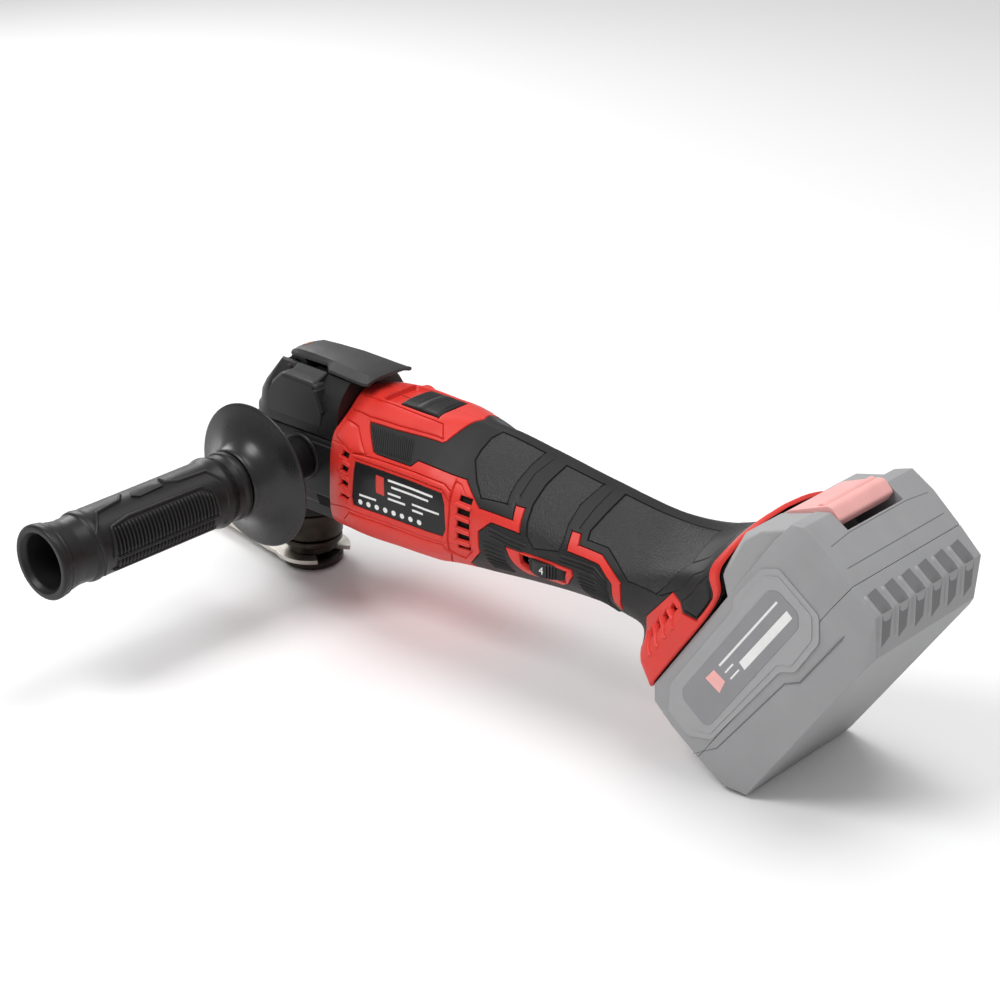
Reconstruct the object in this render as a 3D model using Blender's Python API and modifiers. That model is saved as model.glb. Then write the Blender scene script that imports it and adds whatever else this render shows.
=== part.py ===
"""Cordless oscillating multi-tool with side handle and slide-on battery, as separate pieces.

The frame's origin is the centre of the clamp disc's underside, on the spindle axis. +X runs from the
head to the battery, -Y is the side that carries the handle, and +Z is up. Lengths are in millimetres,
and MM turns them into metres when a mesh is made.
"""

import math

import bmesh
import bpy
import numpy as np
from mathutils import Matrix, Vector

MM = 0.001
GAP = 0.3
OBJECT_NAME = "oscillating_multi_tool"

# Driving dimensions.
CLAMP_RADIUS = 14.0
CLAMP_THICKNESS = 4.6
BLADE_Z = 4.9
BLADE_THICKNESS = 2.0
BLADE_RADIUS = 17.3
MOUTH_ANGLE = 36.0
FLANGE_Z = 7.2
FLANGE_TOP = 13.9
SPINDLE_RADIUS = 6.0
SPINDLE_BORE = 3.3
SPINDLE_TOP = 90.0
ROD_TOP = 94.0
NECK_RADIUS = 14.3
NECK_Z = 14.5
NECK_TOP = 27.4
HEAD_RADIUS = 21.5
HEAD_REAR = 42.6
HEAD_SEAM = 76.0
HEAD_TOP = 102.0
LEVER_PIVOT = (6.0, 100.0)
HANDLE_X = 20.0
HANDLE_Z = 64.6
HANDLE_FACE = 23.2
GUARD_RIM = 49.7
GUARD_RADIUS = 32.4
HANDLE_END = 164.3
MOTOR_Z = 67.5
MOTOR_RADIUS = 20.5
ECCENTRICITY = 0.8
FORK_CLEARANCE = 0.9
HOUSING_FRONT = 43.0
OVERMOULD_START = 118.0
OVERMOULD_DEPTH = 1.5
OVERMOULD_SKIN = 1.2
WALL = 2.6
SLIDER = (70.0, 92.0)
FAN_BLADES = 9
DIAL_CENTRE = (166.5, -17.6, 59.3)
DIAL_RADIUS = 12.6
DIAL_HEIGHT = 6.4
BATTERY_ANGLE = math.radians(55.5)
BATTERY_BOTTOM = 226.0
BATTERY_TOP = 171.0
HEAD_ROOT = 177.0
BATTERY_HALF_WIDTH = 38.0
FRONT_CHAMFER = 2.0
CELL_RADIUS = 9.15
CELL_LENGTH = 65.0

# Directions of the battery: S along its slide, E away from the tool.
SLIDE = np.array([math.cos(BATTERY_ANGLE), 0.0, math.sin(BATTERY_ANGLE)])
AWAY = np.array([math.sin(BATTERY_ANGLE), 0.0, -math.cos(BATTERY_ANGLE)])
BATTERY_HEEL = BATTERY_BOTTOM * math.cos(BATTERY_ANGLE) / math.sin(BATTERY_ANGLE)

BLACK = ("black_plastic", (0.022, 0.022, 0.024), 0.5, 0.0)
RUBBER = ("black_rubber", (0.018, 0.018, 0.019), 0.75, 0.0)
RED = ("red_plastic", (0.62, 0.035, 0.022), 0.4, 0.0)
PALE_GREY = ("grey_plastic", (0.32, 0.32, 0.33), 0.55, 0.0)
PALE_RED = ("pale_red_plastic", (0.75, 0.3, 0.3), 0.5, 0.0)
STEEL = ("steel", (0.6, 0.6, 0.6), 0.3, 1.0)
DARK_STEEL = ("dark_steel", (0.05, 0.05, 0.055), 0.45, 0.7)
COPPER = ("copper_winding", (0.6, 0.25, 0.1), 0.4, 1.0)
BRASS = ("brass", (0.7, 0.5, 0.2), 0.35, 1.0)
GREEN = ("circuit_board", (0.03, 0.2, 0.07), 0.5, 0.0)
CELL_BLUE = ("cell_sleeve", (0.05, 0.2, 0.4), 0.4, 0.0)
LABEL = ("label_black", (0.012, 0.012, 0.014), 0.35, 0.0)


def clear_scene():
    for obj in list(bpy.data.objects):
        bpy.data.objects.remove(obj, do_unlink=True)


def new_collection(name):
    collection = bpy.data.collections.new(name)
    bpy.context.scene.collection.children.link(collection)
    return collection


clear_scene()
PARTS = new_collection(OBJECT_NAME)
CUTTERS = new_collection("cutters")


def material(look, name):
    """A Principled material of the piece's own."""
    kind, colour, roughness, metallic = look
    made = bpy.data.materials.new(f"{name}_{kind}")
    made.use_nodes = True
    shader = made.node_tree.nodes["Principled BSDF"]
    shader.inputs["Base Color"].default_value = (*colour, 1.0)
    shader.inputs["Roughness"].default_value = roughness
    shader.inputs["Metallic"].default_value = metallic
    made.diffuse_color = (*colour, 1.0)
    return made


def place(name, mesh, look, frame=None, location=(0, 0, 0), rotation=(0, 0, 0)):
    """Puts a mesh in the scene as a part, or as a cutter where look is None."""
    obj = bpy.data.objects.new(name, mesh)
    obj.parent = frame
    obj.location = Vector(location) * MM
    obj.rotation_euler = rotation
    if look is None:
        CUTTERS.objects.link(obj)
        obj.hide_render = True
        obj.display_type = "WIRE"
        return obj
    PARTS.objects.link(obj)
    mesh.materials.append(material(look, name))
    return obj


def empty(name, location, rotation=(0, 0, 0)):
    """A guide that holds the axis of a joint or the frame of a sub-assembly."""
    obj = bpy.data.objects.new(name, None)
    obj.location = Vector(location) * MM
    obj.rotation_euler = rotation
    PARTS.objects.link(obj)
    return obj


def mesh_of(name, bm):
    mesh = bpy.data.meshes.new(name)
    bmesh.ops.recalc_face_normals(bm, faces=bm.faces)
    bm.to_mesh(mesh)
    bm.free()
    return mesh


def bevelled(obj, width, segments=1):
    modifier = obj.modifiers.new("edges", "BEVEL")
    modifier.width = width * MM
    modifier.segments = segments
    modifier.limit_method = "ANGLE"
    return obj


def boolean(obj, others, operation):
    """One Boolean of the object with several helpers at once, which a collection of its own holds."""
    helpers = bpy.data.collections.new(f"{operation.lower()}_{obj.name}")
    CUTTERS.children.link(helpers)
    for other in others:
        helpers.objects.link(other)
    modifier = obj.modifiers.new(operation.lower(), "BOOLEAN")
    modifier.operation = operation
    modifier.operand_type = "COLLECTION"
    modifier.collection = helpers
    modifier.solver = "EXACT"
    return obj


def cut(obj, *cutters):
    return boolean(obj, cutters, "DIFFERENCE")


def join(obj, *helpers):
    return boolean(obj, helpers, "UNION")


def block(name, low, high, look=None, frame=None, bevel=0.0, location=(0, 0, 0)):
    """A box between two corners, given from the piece's own origin."""
    bm = bmesh.new()
    bmesh.ops.create_cube(bm, size=1.0)
    low = Vector(low) * MM
    high = Vector(high) * MM
    size = Matrix.Diagonal((*(high - low), 1.0))
    bm.transform(Matrix.Translation((low + high) / 2) @ size)
    obj = place(name, mesh_of(name, bm), look, frame, location)
    return bevelled(obj, bevel) if bevel else obj


def turned(name, profile, look=None, frame=None, location=(0, 0, 0), rotation=(0, 0, 0), steps=28):
    """A piece turned about its local Z. The profile runs down its outer side, and a ring's returns inside."""
    ring = all(radius > 0 for radius, _ in profile)
    mesh = bpy.data.meshes.new(name)
    points = [(radius * MM, 0, height * MM) for radius, height in profile]
    edges = [(i, i + 1) for i in range(len(points) - 1)]
    if ring:
        edges.append((len(points) - 1, 0))
    mesh.from_pydata(points, edges, [])
    obj = place(name, mesh, look, frame, location, rotation)
    screw = obj.modifiers.new("turn", "SCREW")
    screw.steps = steps
    screw.render_steps = steps
    screw.use_merge_vertices = True
    screw.merge_threshold = 0.00001
    screw.use_smooth_shade = False
    return obj


def rod(name, radius, low, high, look=None, frame=None, location=(0, 0, 0), rotation=(0, 0, 0), steps=16):
    profile = [(0, high), (radius, high), (radius, low), (0, low)]
    return turned(name, profile, look, frame, location, rotation, steps)


def ring(
    name, inner, outer, low, high, look=None, frame=None, location=(0, 0, 0), rotation=(0, 0, 0), steps=20
):
    profile = [(outer, high), (outer, low), (inner, low), (inner, high)]
    return turned(name, profile, look, frame, location, rotation, steps)


def plate(name, outline, low, high, look=None, frame=None, location=(0, 0, 0), rotation=(0, 0, 0)):
    """A flat outline in the local XY plane, extruded from low to high along local Z."""
    curve = bpy.data.curves.new(name, "CURVE")
    curve.dimensions = "2D"
    curve.fill_mode = "BOTH"
    curve.extrude = (high - low) / 2 * MM
    spline = curve.splines.new("POLY")
    spline.points.add(len(outline) - 1)
    for point, (x, y) in zip(spline.points, outline):
        point.co = (x * MM, y * MM, 0, 1)
    spline.use_cyclic_u = True
    source = bpy.data.objects.new(name + "_outline", curve)
    CUTTERS.objects.link(source)
    graph = bpy.context.evaluated_depsgraph_get()
    mesh = bpy.data.meshes.new_from_object(source.evaluated_get(graph))
    bpy.data.objects.remove(source)
    bpy.data.curves.remove(curve)
    bm = bmesh.new()
    bm.from_mesh(mesh)
    bpy.data.meshes.remove(mesh)
    bmesh.ops.remove_doubles(bm, verts=bm.verts, dist=0.000001)
    bmesh.ops.translate(bm, verts=bm.verts, vec=(0, 0, (low + high) / 2 * MM))
    return place(name, mesh_of(name, bm), look, frame, location, rotation)


def arc(centre, radius, start, end, count):
    """Points along an arc, angles in degrees."""
    angles = np.radians(np.linspace(start, end, count))
    return [(centre[0] + radius * math.cos(a), centre[1] + radius * math.sin(a)) for a in angles]


def loft(name, rings, look=None, frame=None, location=(0, 0, 0)):
    """A closed solid through rings that have the same number of points, with flat ends."""
    bm = bmesh.new()
    rows = [[bm.verts.new(Vector(point) * MM) for point in points] for points in rings]
    count = len(rows[0])
    for before, after in zip(rows, rows[1:]):
        for i in range(count):
            j = (i + 1) % count
            bm.faces.new((before[i], before[j], after[j], after[i]))
    bm.faces.new(rows[0])
    bm.faces.new(rows[-1])
    return place(name, mesh_of(name, bm), look, frame, location)


def skin(name, outer, inner, look):
    """A closed wall between two open grids of points that have the same shape."""
    bm = bmesh.new()
    grids = [
        [[bm.verts.new(Vector(point) * MM) for point in row] for row in grid]
        for grid in (outer, inner)
    ]
    rows, columns = outer.shape[:2]
    for grid in grids:
        for i in range(rows - 1):
            for j in range(columns - 1):
                bm.faces.new((grid[i][j], grid[i + 1][j], grid[i + 1][j + 1], grid[i][j + 1]))
    rim = [(i, 0) for i in range(rows)]
    rim += [(rows - 1, j) for j in range(1, columns)]
    rim += [(i, columns - 1) for i in range(rows - 2, -1, -1)]
    rim += [(0, j) for j in range(columns - 2, 0, -1)]
    for (i, j), (k, m) in zip(rim, rim[1:] + rim[:1]):
        bm.faces.new((grids[0][i][j], grids[0][k][m], grids[1][k][m], grids[1][i][j]))
    return place(name, mesh_of(name, bm), look)


# The body's form: cages of eight corners, from the middle of the top round one side to the middle of
# the bottom, at stations along the body. Each corner is rounded, and the stations are joined smoothly.
ROUNDING = 0.72
CORNER_POINTS = 2

# x, bottom z, top z, flat half-width on top, shoulder (y, depth), side top (y, depth),
# side bottom (y, height), floor (y, height)
STATIONS = [
    (43.0, 35.5, 97.2, 6.0, (15.0, 8.0), (26.0, 15.5), (28.5, 9.0), (20.0, 1.5)),
    (51.0, 36.0, 99.0, 8.0, (17.0, 7.0), (29.5, 17.5), (31.0, 11.0), (21.0, 1.2)),
    (60.0, 36.4, 99.7, 9.5, (18.0, 6.6), (31.5, 18.8), (32.2, 12.0), (22.0, 1.0)),
    (84.0, 37.8, 99.7, 9.6, (18.5, 6.4), (32.0, 19.6), (32.2, 12.0), (22.0, 1.0)),
    (98.0, 38.3, 99.7, 8.8, (18.0, 6.8), (31.8, 19.8), (32.0, 12.0), (21.5, 1.0)),
    (105.0, 38.6, 99.6, 6.2, (17.0, 7.0), (31.5, 20.0), (31.7, 12.0), (21.0, 1.0)),
    (113.0, 38.7, 99.4, 3.2, (14.5, 8.0), (30.5, 21.7), (31.0, 13.0), (19.0, 1.5)),
    (130.0, 38.8, 98.6, 2.4, (13.5, 8.2), (29.3, 23.8), (29.3, 15.0), (16.0, 2.0)),
    (150.0, 39.9, 96.0, 2.4, (13.0, 8.0), (28.4, 23.2), (28.2, 16.0), (14.0, 2.5)),
    (172.0, 41.4, 93.0, 2.4, (13.0, 8.0), (27.8, 21.6), (27.5, 16.0), (13.0, 2.5)),
    (192.0, 42.7, 90.4, 2.6, (13.0, 7.8), (27.8, 20.5), (27.6, 15.0), (14.0, 2.0)),
    (203.0, 43.0, 89.0, 3.0, (13.0, 7.8), (28.4, 19.5), (28.2, 14.0), (16.0, 1.5)),
]

# The foot, in battery coordinates (along the slide, sideways, away from the tool): the shoulder that
# the grip flares out to, and the rim that meets the battery.
SHOULDER = [
    (219.0, 0, 151.2), (218.2, 9, 151.4), (214.5, 21, 153.0), (210.5, 32, 156.5),
    (203.0, 36.6, 162.0), (161.5, 37.0, 162.0), (155.5, 31, 161.0), (155.5, 0, 161.0),
]
RIM = [
    (238.4, 0, 156.0), (237.6, 14, 156.4), (234.5, 27, 157.6), (222.5, 36.4, 160.4),
    (215.8, 37.8, 170.2), (157.5, 37.6, 170.2), (152.3, 31.5, 170.2), (152.3, 0, 170.2),
]
# Direction of the flare where it reaches the shoulder, as (slide, sideways, away), and how strongly the
# surface keeps its direction at both ends.
FLARE = [
    (26, 0, 9), (26, 0, 9), (22, 6, 10), (12, 12, 14), (0, 12, 20), (-6, 12, 20), (-8, 0, 20), (-8, 0, 20),
]
FLARE_PULL = 0.9
GRIP_END_SLOPE = -0.1
FLARE_STEPS = 5
BAND_STEPS = 1
GRIP_SAMPLES = (43, 47, 53, 62, 84, 105, 110, 114, 118, 130, 145, 161, 182, 203)


def from_battery(points):
    """Turns (slide, sideways, away) into (x, y, z)."""
    points = np.array(points, float)
    return points[:, :1] * SLIDE + points[:, 1:2] * np.array([0, 1.0, 0]) + points[:, 2:] * AWAY


def station_cage(row):
    x, bottom, top, flat, shoulder, side_top, side_bottom, floor = row
    return np.array([
        (x, 0, top),
        (x, flat, top),
        (x, shoulder[0], top - shoulder[1]),
        (x, side_top[0], top - side_top[1]),
        (x, side_bottom[0], bottom + side_bottom[1]),
        (x, floor[0], bottom + floor[1]),
        (x, floor[0] * 0.45, bottom),
        (x, 0, bottom),
    ])


def smooth_cages(cages, positions, samples):
    """Cubic interpolation of the cages at the sample positions."""
    cages = np.array(cages)
    positions = np.array(positions, float)
    slopes = np.gradient(cages, positions, axis=0)
    found = []
    for at in samples:
        i = int(np.clip(np.searchsorted(positions, at) - 1, 0, len(positions) - 2))
        span = positions[i + 1] - positions[i]
        t = (at - positions[i]) / span
        found.append(hermite(cages[i], cages[i + 1], slopes[i] * span, slopes[i + 1] * span, t))
    return found


def hermite(start, end, out, into, t):
    return (
        (2 * t**3 - 3 * t**2 + 1) * start
        + (t**3 - 2 * t**2 + t) * out
        + (3 * t**2 - 2 * t**3) * end
        + (t**3 - t**2) * into
    )


def rounded(cage):
    """The half ring of points that a cage stands for, each inner corner rounded by a short curve."""
    points = [cage[0]]
    for before, corner, after in zip(cage, cage[1:], cage[2:]):
        start = corner + (before - corner) * ROUNDING / 2
        end = corner + (after - corner) * ROUNDING / 2
        for t in np.linspace(0, 1, CORNER_POINTS):
            points.append((1 - t) ** 2 * start + 2 * t * (1 - t) * corner + t**2 * end)
    points.append(cage[-1])
    return np.array(points)


def body_grid():
    """Half the body's outer surface, from the housing's front edge to the rim at the battery."""
    positions = [row[0] for row in STATIONS]
    cages = smooth_cages([station_cage(row) for row in STATIONS], positions, GRIP_SAMPLES)
    grip_end = cages[-1]
    shoulder = from_battery(SHOULDER)
    rim = from_battery(RIM)
    reach = np.linalg.norm(shoulder - grip_end, axis=1, keepdims=True) * FLARE_PULL
    out = reach * np.array([1.0, 0.0, GRIP_END_SLOPE])
    into = from_battery(FLARE)
    into *= reach / np.linalg.norm(into, axis=1, keepdims=True)
    for step in range(1, FLARE_STEPS + 1):
        cages.append(hermite(grip_end, shoulder, out, into, step / FLARE_STEPS))
    for step in range(1, BAND_STEPS + 1):
        cages.append(shoulder + (rim - shoulder) * step / BAND_STEPS)
    return np.array([rounded(cage) for cage in cages])


def inset(grid, depths):
    """The grid with each row drawn in towards the middle of its ring by its own depth."""
    middles = (grid[:, :1] + grid[:, -1:]) / 2
    inward = middles - grid
    inward /= np.linalg.norm(inward, axis=2, keepdims=True)
    return grid + inward * depths[:, None, None]


def sided(grid, side):
    """The half grid on its side of the seam, with half the gap kept to it."""
    moved = grid.copy()
    moved[..., 1] = np.maximum(moved[..., 1], GAP / 2) * side
    return moved


def screw_boss(name, x, z, length, side):
    rotation = (-side * math.pi / 2, 0, 0)
    return rod(f"boss_{name}", 4.2, GAP / 2, length, None, None, (x, 0, z), rotation, 12)


# Each screw's x and z, and how far its boss reaches from the seam to the wall.
HOUSING_SCREWS = {
    "housing_screw_front_low": (54.5, 46.0, 27.5),
    "housing_screw_front_high": (54.0, 87.0, 25.5),
    "housing_screw_middle_low": (112.5, 47.5, 27.0),
    "housing_screw_grip": (143.0, 69.0, 23.6),
    "housing_screw_rear": (208.0, 62.0, 24.6),
}


def make_housing():
    grid = body_grid()
    stations = grid[:, 0, 0]
    rows = len(grid)
    first = int(np.searchsorted(stations, OVERMOULD_START))
    last = rows - BAND_STEPS - 1
    recess = np.zeros(rows)
    recess[first:last] = OVERMOULD_DEPTH
    outer = inset(grid, recess)
    inner = inset(grid, recess + WALL)
    skin_inner = inset(grid, np.full(rows, OVERMOULD_SKIN))
    window = block("dial_window", (155.0, -50, 55.3), (178.0, -21.0, 63.3))
    dial_room = rod("dial_room", DIAL_RADIUS + 0.7, -3.8, 3.8, None, None, DIAL_CENTRE, steps=32)
    stem_room = rod("dial_stem_room", 3.0, -9.0, 0, None, None, DIAL_CENTRE, steps=12)
    pocket = block("switch_pocket", (61.5, -9.6, 96.4), (93.0, 9.6, 110))
    slot = block("switch_slot", (75.0, -3.3, 80), (88.9, 3.3, 98))
    vents = [
        block(f"vent_{i}", (123.0, -50, z), (129.5, 50, z + 3.4))
        for i, z in enumerate((55.0, 61.0, 67.0, 73.0, 79.0))
    ]
    intakes = [
        block(f"intake_{i}", (53.8, -50, z), (58.6, 50, z + 4.6))
        for i, z in enumerate((55.5, 63.2, 70.9, 78.6))
    ]
    foot_vents = [
        block(f"foot_vent_{i}", (s, -60, 150), (s + 4.0, 60, 160), None, BATTERY_FRAME)
        for i, s in enumerate((168.0, 176.5, 185.0))
    ]
    label_seat = block("label_seat", (62.0, -50, 55.2), (115.0, -31.3, 78.2))
    holes = {}
    for screw_name, (x, z, _) in HOUSING_SCREWS.items():
        turn = (-math.pi / 2, 0, 0)
        shank = rod(f"hole_{screw_name}", 2.0, -14, 40, None, None, (x, 0, z), turn, 12)
        head = rod(f"counterbore_{screw_name}", 4.0, 20.3, 50, None, None, (x, 0, z), turn, 16)
        holes[screw_name] = (shank, head)
    for side_name, side in (("left", -1), ("right", 1)):
        shell = skin(f"housing_{side_name}", sided(outer, side), sided(inner, side), RED)
        bosses = [screw_boss(f"{side_name}_{name}", *seat, side) for name, seat in HOUSING_SCREWS.items()]
        low, high = sorted((side * GAP / 2, side * 13.5))
        tray = block(f"switch_tray_{side_name}", (57.5, low, 92.6), (97, high, 98.4))
        low, high = sorted((side * 20.5, side * 36.2))
        rail = block(f"rail_{side_name}", (164, 167.2, low), (212, 170.0, high), None, BATTERY_FRAME)
        shell_cuts = [pocket, slot, *vents, *intakes, *foot_vents]
        shell_cuts += [shank for shank, _ in holes.values()]
        grip_cuts = list(vents)
        if side < 0:
            shell_cuts += [window, dial_room, stem_room, label_seat]
            grip_cuts.append(window)
        else:
            shell_cuts += [head for _, head in holes.values()]
            grip_cuts += [holes["housing_screw_grip"][1], holes["housing_screw_rear"][1]]
        join(shell, tray, rail, *bosses)
        cut(shell, *shell_cuts)
        overmould = skin(
            f"grip_{side_name}",
            sided(grid, side)[first + 1 : last],
            sided(skin_inner, side)[first + 1 : last],
            RUBBER,
        )
        cut(overmould, *grip_cuts)
    for screw_name, (x, z, _) in HOUSING_SCREWS.items():
        profile = [(0, 23.5), (3.4, 23.5), (3.4, 20.6), (1.7, 20.6), (1.7, -11.5), (0, -11.5)]
        turned(screw_name, profile, DARK_STEEL, None, (x, 0, z), (-math.pi / 2, 0, 0), 14)
    block("rating_plate", (62.5, -31.95, 55.7), (114.5, -31.6, 77.7), LABEL)


def head_outline(front, half_width, rear=HEAD_REAR, count=11):
    """A D in plan: a round front of the given reach, and straight sides back to the rear."""
    points = [
        (-front * math.cos(a), half_width * math.sin(a))
        for a in np.linspace(-math.pi / 2, math.pi / 2, count)
    ]
    return [(rear, -half_width)] + points + [(rear, half_width)]


def make_head():
    case = plate("gear_case", head_outline(HEAD_RADIUS, HEAD_RADIUS), 40.0, HEAD_SEAM, BLACK)
    collar = turned(
        "case_collar",
        [(0, 42), (20.5, 42), (20.5, 36.5), (15.6, 30.0), (15.6, NECK_TOP + GAP), (0, NECK_TOP + GAP)],
    )
    ledge = block("case_ledge", (0, -17.5, 36.0), (HEAD_REAR, 17.5, 42.0))
    boss_profile = [(0, HANDLE_FACE), (11.0, HANDLE_FACE), (11.0, 13.4), (0, 13.4)]
    bosses = [
        turned(f"handle_boss_{i}", boss_profile, None, None, (HANDLE_X, 0, HANDLE_Z), (turn, 0, 0), 24)
        for i, turn in enumerate((math.pi / 2, -math.pi / 2))
    ]
    cavity = plate("case_cavity", head_outline(17.5, 17.0, 50.0), 44.0, 90.0)
    shaft_way = rod("case_shaft_way", 8.0, 10, 80)
    insert_hole = rod(
        "insert_hole", 6.6, -41, 41, None, None, (HANDLE_X, 0, HANDLE_Z), (math.pi / 2, 0, 0), 22
    )
    fork_room = block("fork_room", (-14, -12.6, 55), (36, 12.6, 76.5))
    join(cut(case, cavity), collar, ledge, *bosses)
    cut(case, shaft_way, insert_hole, fork_room)
    for name, turn in (("handle_insert_left", math.pi / 2), ("handle_insert_right", -math.pi / 2)):
        ring(name, 4.5, 6.3, 13.7, 22.9, BRASS, None, (HANDLE_X, 0, HANDLE_Z), (turn, 0, 0), 20)

    levels = [
        (HEAD_SEAM + GAP, 20.4, 21.5), (79.0, 20.0, 21.5), (80.5, 17.8, 21.2), (87.0, 16.0, 21.0),
        (92.0, 12.0, 20.0), (97.0, 7.4, 17.0), (HEAD_TOP, 4.0, 12.2),
    ]
    rings = [
        [(x, y, z) for x, y in head_outline(front, width)] for z, front, width in levels
    ]
    cover = loft("head_cover", rings, BLACK)
    bearing_seat = rod("upper_bearing_seat", 11.3, 70, 87.4)
    spindle_room = rod("spindle_room", 6.6, 80, 99)
    cam_room = rod("cam_room", 12.4, -9.7, 9.7, None, None, (LEVER_PIVOT[0], 0, LEVER_PIVOT[1]),
                   (math.pi / 2, 0, 0), 26)
    motor_room = block("motor_room", (16, -14, 70), (50, 14, 88))
    pin_hole = rod("lever_pin_hole", 1.8, -30, 30, None, None, (LEVER_PIVOT[0], 0, LEVER_PIVOT[1]),
                   (math.pi / 2, 0, 0), 12)
    cut(cover, bearing_seat, spindle_room, cam_room, motor_room, pin_hole)

    shield = plate("bearing_shield", arc((0, 0), 22.5, 0, 345, 24), 43.2, 49.5, DARK_STEEL, None,
                   (0, 0, MOTOR_Z), (0, math.pi / 2, 0))
    cut(shield, rod("shield_bore", 7.0, 40, 60, None, None, (0, 0, MOTOR_Z), (0, math.pi / 2, 0), 20))


def make_lever():
    """The clamp lever: a flat top with side skirts that widen behind the head, and a cam at the pivot."""
    # x, top z, underside z, half-width of the top, half-width and lowest point of the skirt
    rows = [
        (-1.0, 104.0, 103.2, 4.6, 5.8, 102.7),
        (1.0, 105.6, 103.6, 6.5, 8.6, 102.9),
        (6.0, 107.3, 104.4, 7.5, 9.2, 103.2),
        (26.0, 107.9, 105.0, 8.6, 10.0, 104.0),
        (30.5, 107.9, 105.0, 8.8, 13.2, 103.2),
        (52.5, 106.6, 103.9, 9.6, 13.8, 102.6),
        (54.5, 105.6, 104.2, 9.6, 13.6, 103.4),
    ]
    rings = []
    for x, top, under, flat, skirt, low in rows:
        half = [
            (0.0, top), (flat, top), (skirt, low + 0.9), (skirt, low), (skirt - 1.5, low),
            (flat - 0.6, under), (0.0, under),
        ]
        other = [(-y, z) for y, z in reversed(half[1:-1])]
        rings.append([(x - LEVER_PIVOT[0], y, z - LEVER_PIVOT[1]) for y, z in half + other])
    axis = empty("lever_axis", (LEVER_PIVOT[0], 0, LEVER_PIVOT[1]))
    lever = loft("clamp_lever", rings, BLACK, axis)
    cam = rod("lever_cam", 5.4, -8.6, 8.6, None, axis, (0, 0, 0), (math.pi / 2, 0, 0), 20)
    pin_way = rod("lever_pin_way", 2.1, -20, 20, None, axis, (0, 0, 0), (math.pi / 2, 0, 0), 16)
    join(lever, cam)
    cut(lever, pin_way)
    rod("lever_pin", 1.5, -14.5, 14.5, STEEL, None, (LEVER_PIVOT[0], 0, LEVER_PIVOT[1]),
        (math.pi / 2, 0, 0), 14)


def make_spindle():
    turned("clamp_disc", [
        (0, CLAMP_THICKNESS), (12.6, CLAMP_THICKNESS), (CLAMP_RADIUS, 3.4), (CLAMP_RADIUS, 1.2),
        (12.6, 0), (0, 0),
    ], DARK_STEEL, steps=32)
    rod("clamp_rod", 3.0, BLADE_Z, ROD_TOP, STEEL)
    ring("spindle", SPINDLE_BORE, SPINDLE_RADIUS, FLANGE_Z + GAP, SPINDLE_TOP, STEEL)
    turned("tool_flange", [
        (13.6, FLANGE_TOP), (13.9, 13.3), (13.9, 11.0), (11.4, 10.3), (11.4, FLANGE_Z), (6.3, FLANGE_Z),
        (6.3, FLANGE_TOP),
    ], DARK_STEEL, steps=32)
    ring("neck_sleeve", 11.3, NECK_RADIUS, NECK_Z, NECK_TOP, DARK_STEEL, steps=32)
    ring("dust_seal", 6.3, 11.0, NECK_Z + 0.4, 17.2, RUBBER)
    ring("lower_bearing", 6.3, 11.0, 17.6, 26.8, STEEL)
    ring("upper_bearing", 6.3, 11.0, 79.8, 87.0, STEEL)

    fork = ring("drive_fork", 6.3, 11.6, 58.0, 74.0, DARK_STEEL)
    arm_inner = 6.4 + ECCENTRICITY + FORK_CLEARANCE
    arms = []
    for side_name, side in (("near", -1), ("far", 1)):
        low, high = sorted((side * arm_inner, side * 11.2))
        arms.append(block(f"fork_arm_{side_name}", (7.0, low, 61.5), (30.0, high, 73.5)))
    join(fork, *arms)

    shoulder = [(-23.0, -13.2), (-41.0, -10.0), (-52.0, -8.0), (-78.0, -8.0)]
    outline = arc((0, 0), BLADE_RADIUS, -MOUTH_ANGLE, -118, 12)
    outline += shoulder
    teeth = 8
    for i in range(teeth):
        y = -8.0 + 16.0 * (i + 0.5) / teeth
        outline.append((-80.0, y))
        if i < teeth - 1:
            outline.append((-78.2, y + 8.0 / teeth))
    outline += [(x, -y) for x, y in reversed(shoulder)]
    outline += arc((0, 0), BLADE_RADIUS, 118, MOUTH_ANGLE, 12)
    outline += [(6.0, 4.6)] + arc((0, 0), 4.6, 90, 270, 9) + [(6.0, -4.6)]
    plate("saw_blade", outline, BLADE_Z, BLADE_Z + BLADE_THICKNESS, STEEL)


def make_motor():
    frame = empty("motor_axis", (0, 0, MOTOR_Z), (0, math.pi / 2, 0))
    shaft = turned("motor_shaft", [
        (0, 116.5), (2.5, 116.5), (2.5, 30.5), (3.4, 30.5), (3.4, 20.0), (0, 20.0),
    ], STEEL, frame, steps=18)
    throw = rod("eccentric_throw", 3.6, 19.6, 30.0, None, frame, (ECCENTRICITY, 0, 0), steps=18)
    join(shaft, throw)
    ring("eccentric_bearing", 4.6, 6.4, 21.0, 28.0, STEEL, frame, (ECCENTRICITY, 0, 0))
    ring("front_motor_bearing", 2.8, 6.7, 43.6, 49.2, STEEL, frame)
    ring("rear_motor_bearing", 2.8, 6.5, 109.5, 114.5, STEEL, frame)
    ring("rotor", 2.8, 11.0, 62.0, 96.0, DARK_STEEL, frame)
    ring("stator", 11.6, MOTOR_RADIUS, 60.5, 97.5, COPPER, frame, steps=32)
    fan = ring("fan", 2.8, 6.0, 99.5, 107.0, BLACK, frame)
    blades = []
    for i in range(FAN_BLADES):
        blade = block(f"fan_blade_{i}", (5.0, -0.8, 99.8), (19.0, 0.8, 106.4), None, frame)
        blade.rotation_euler = (0, 0, 2 * math.pi * i / FAN_BLADES)
        blades.append(blade)
    join(fan, *blades)


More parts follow.
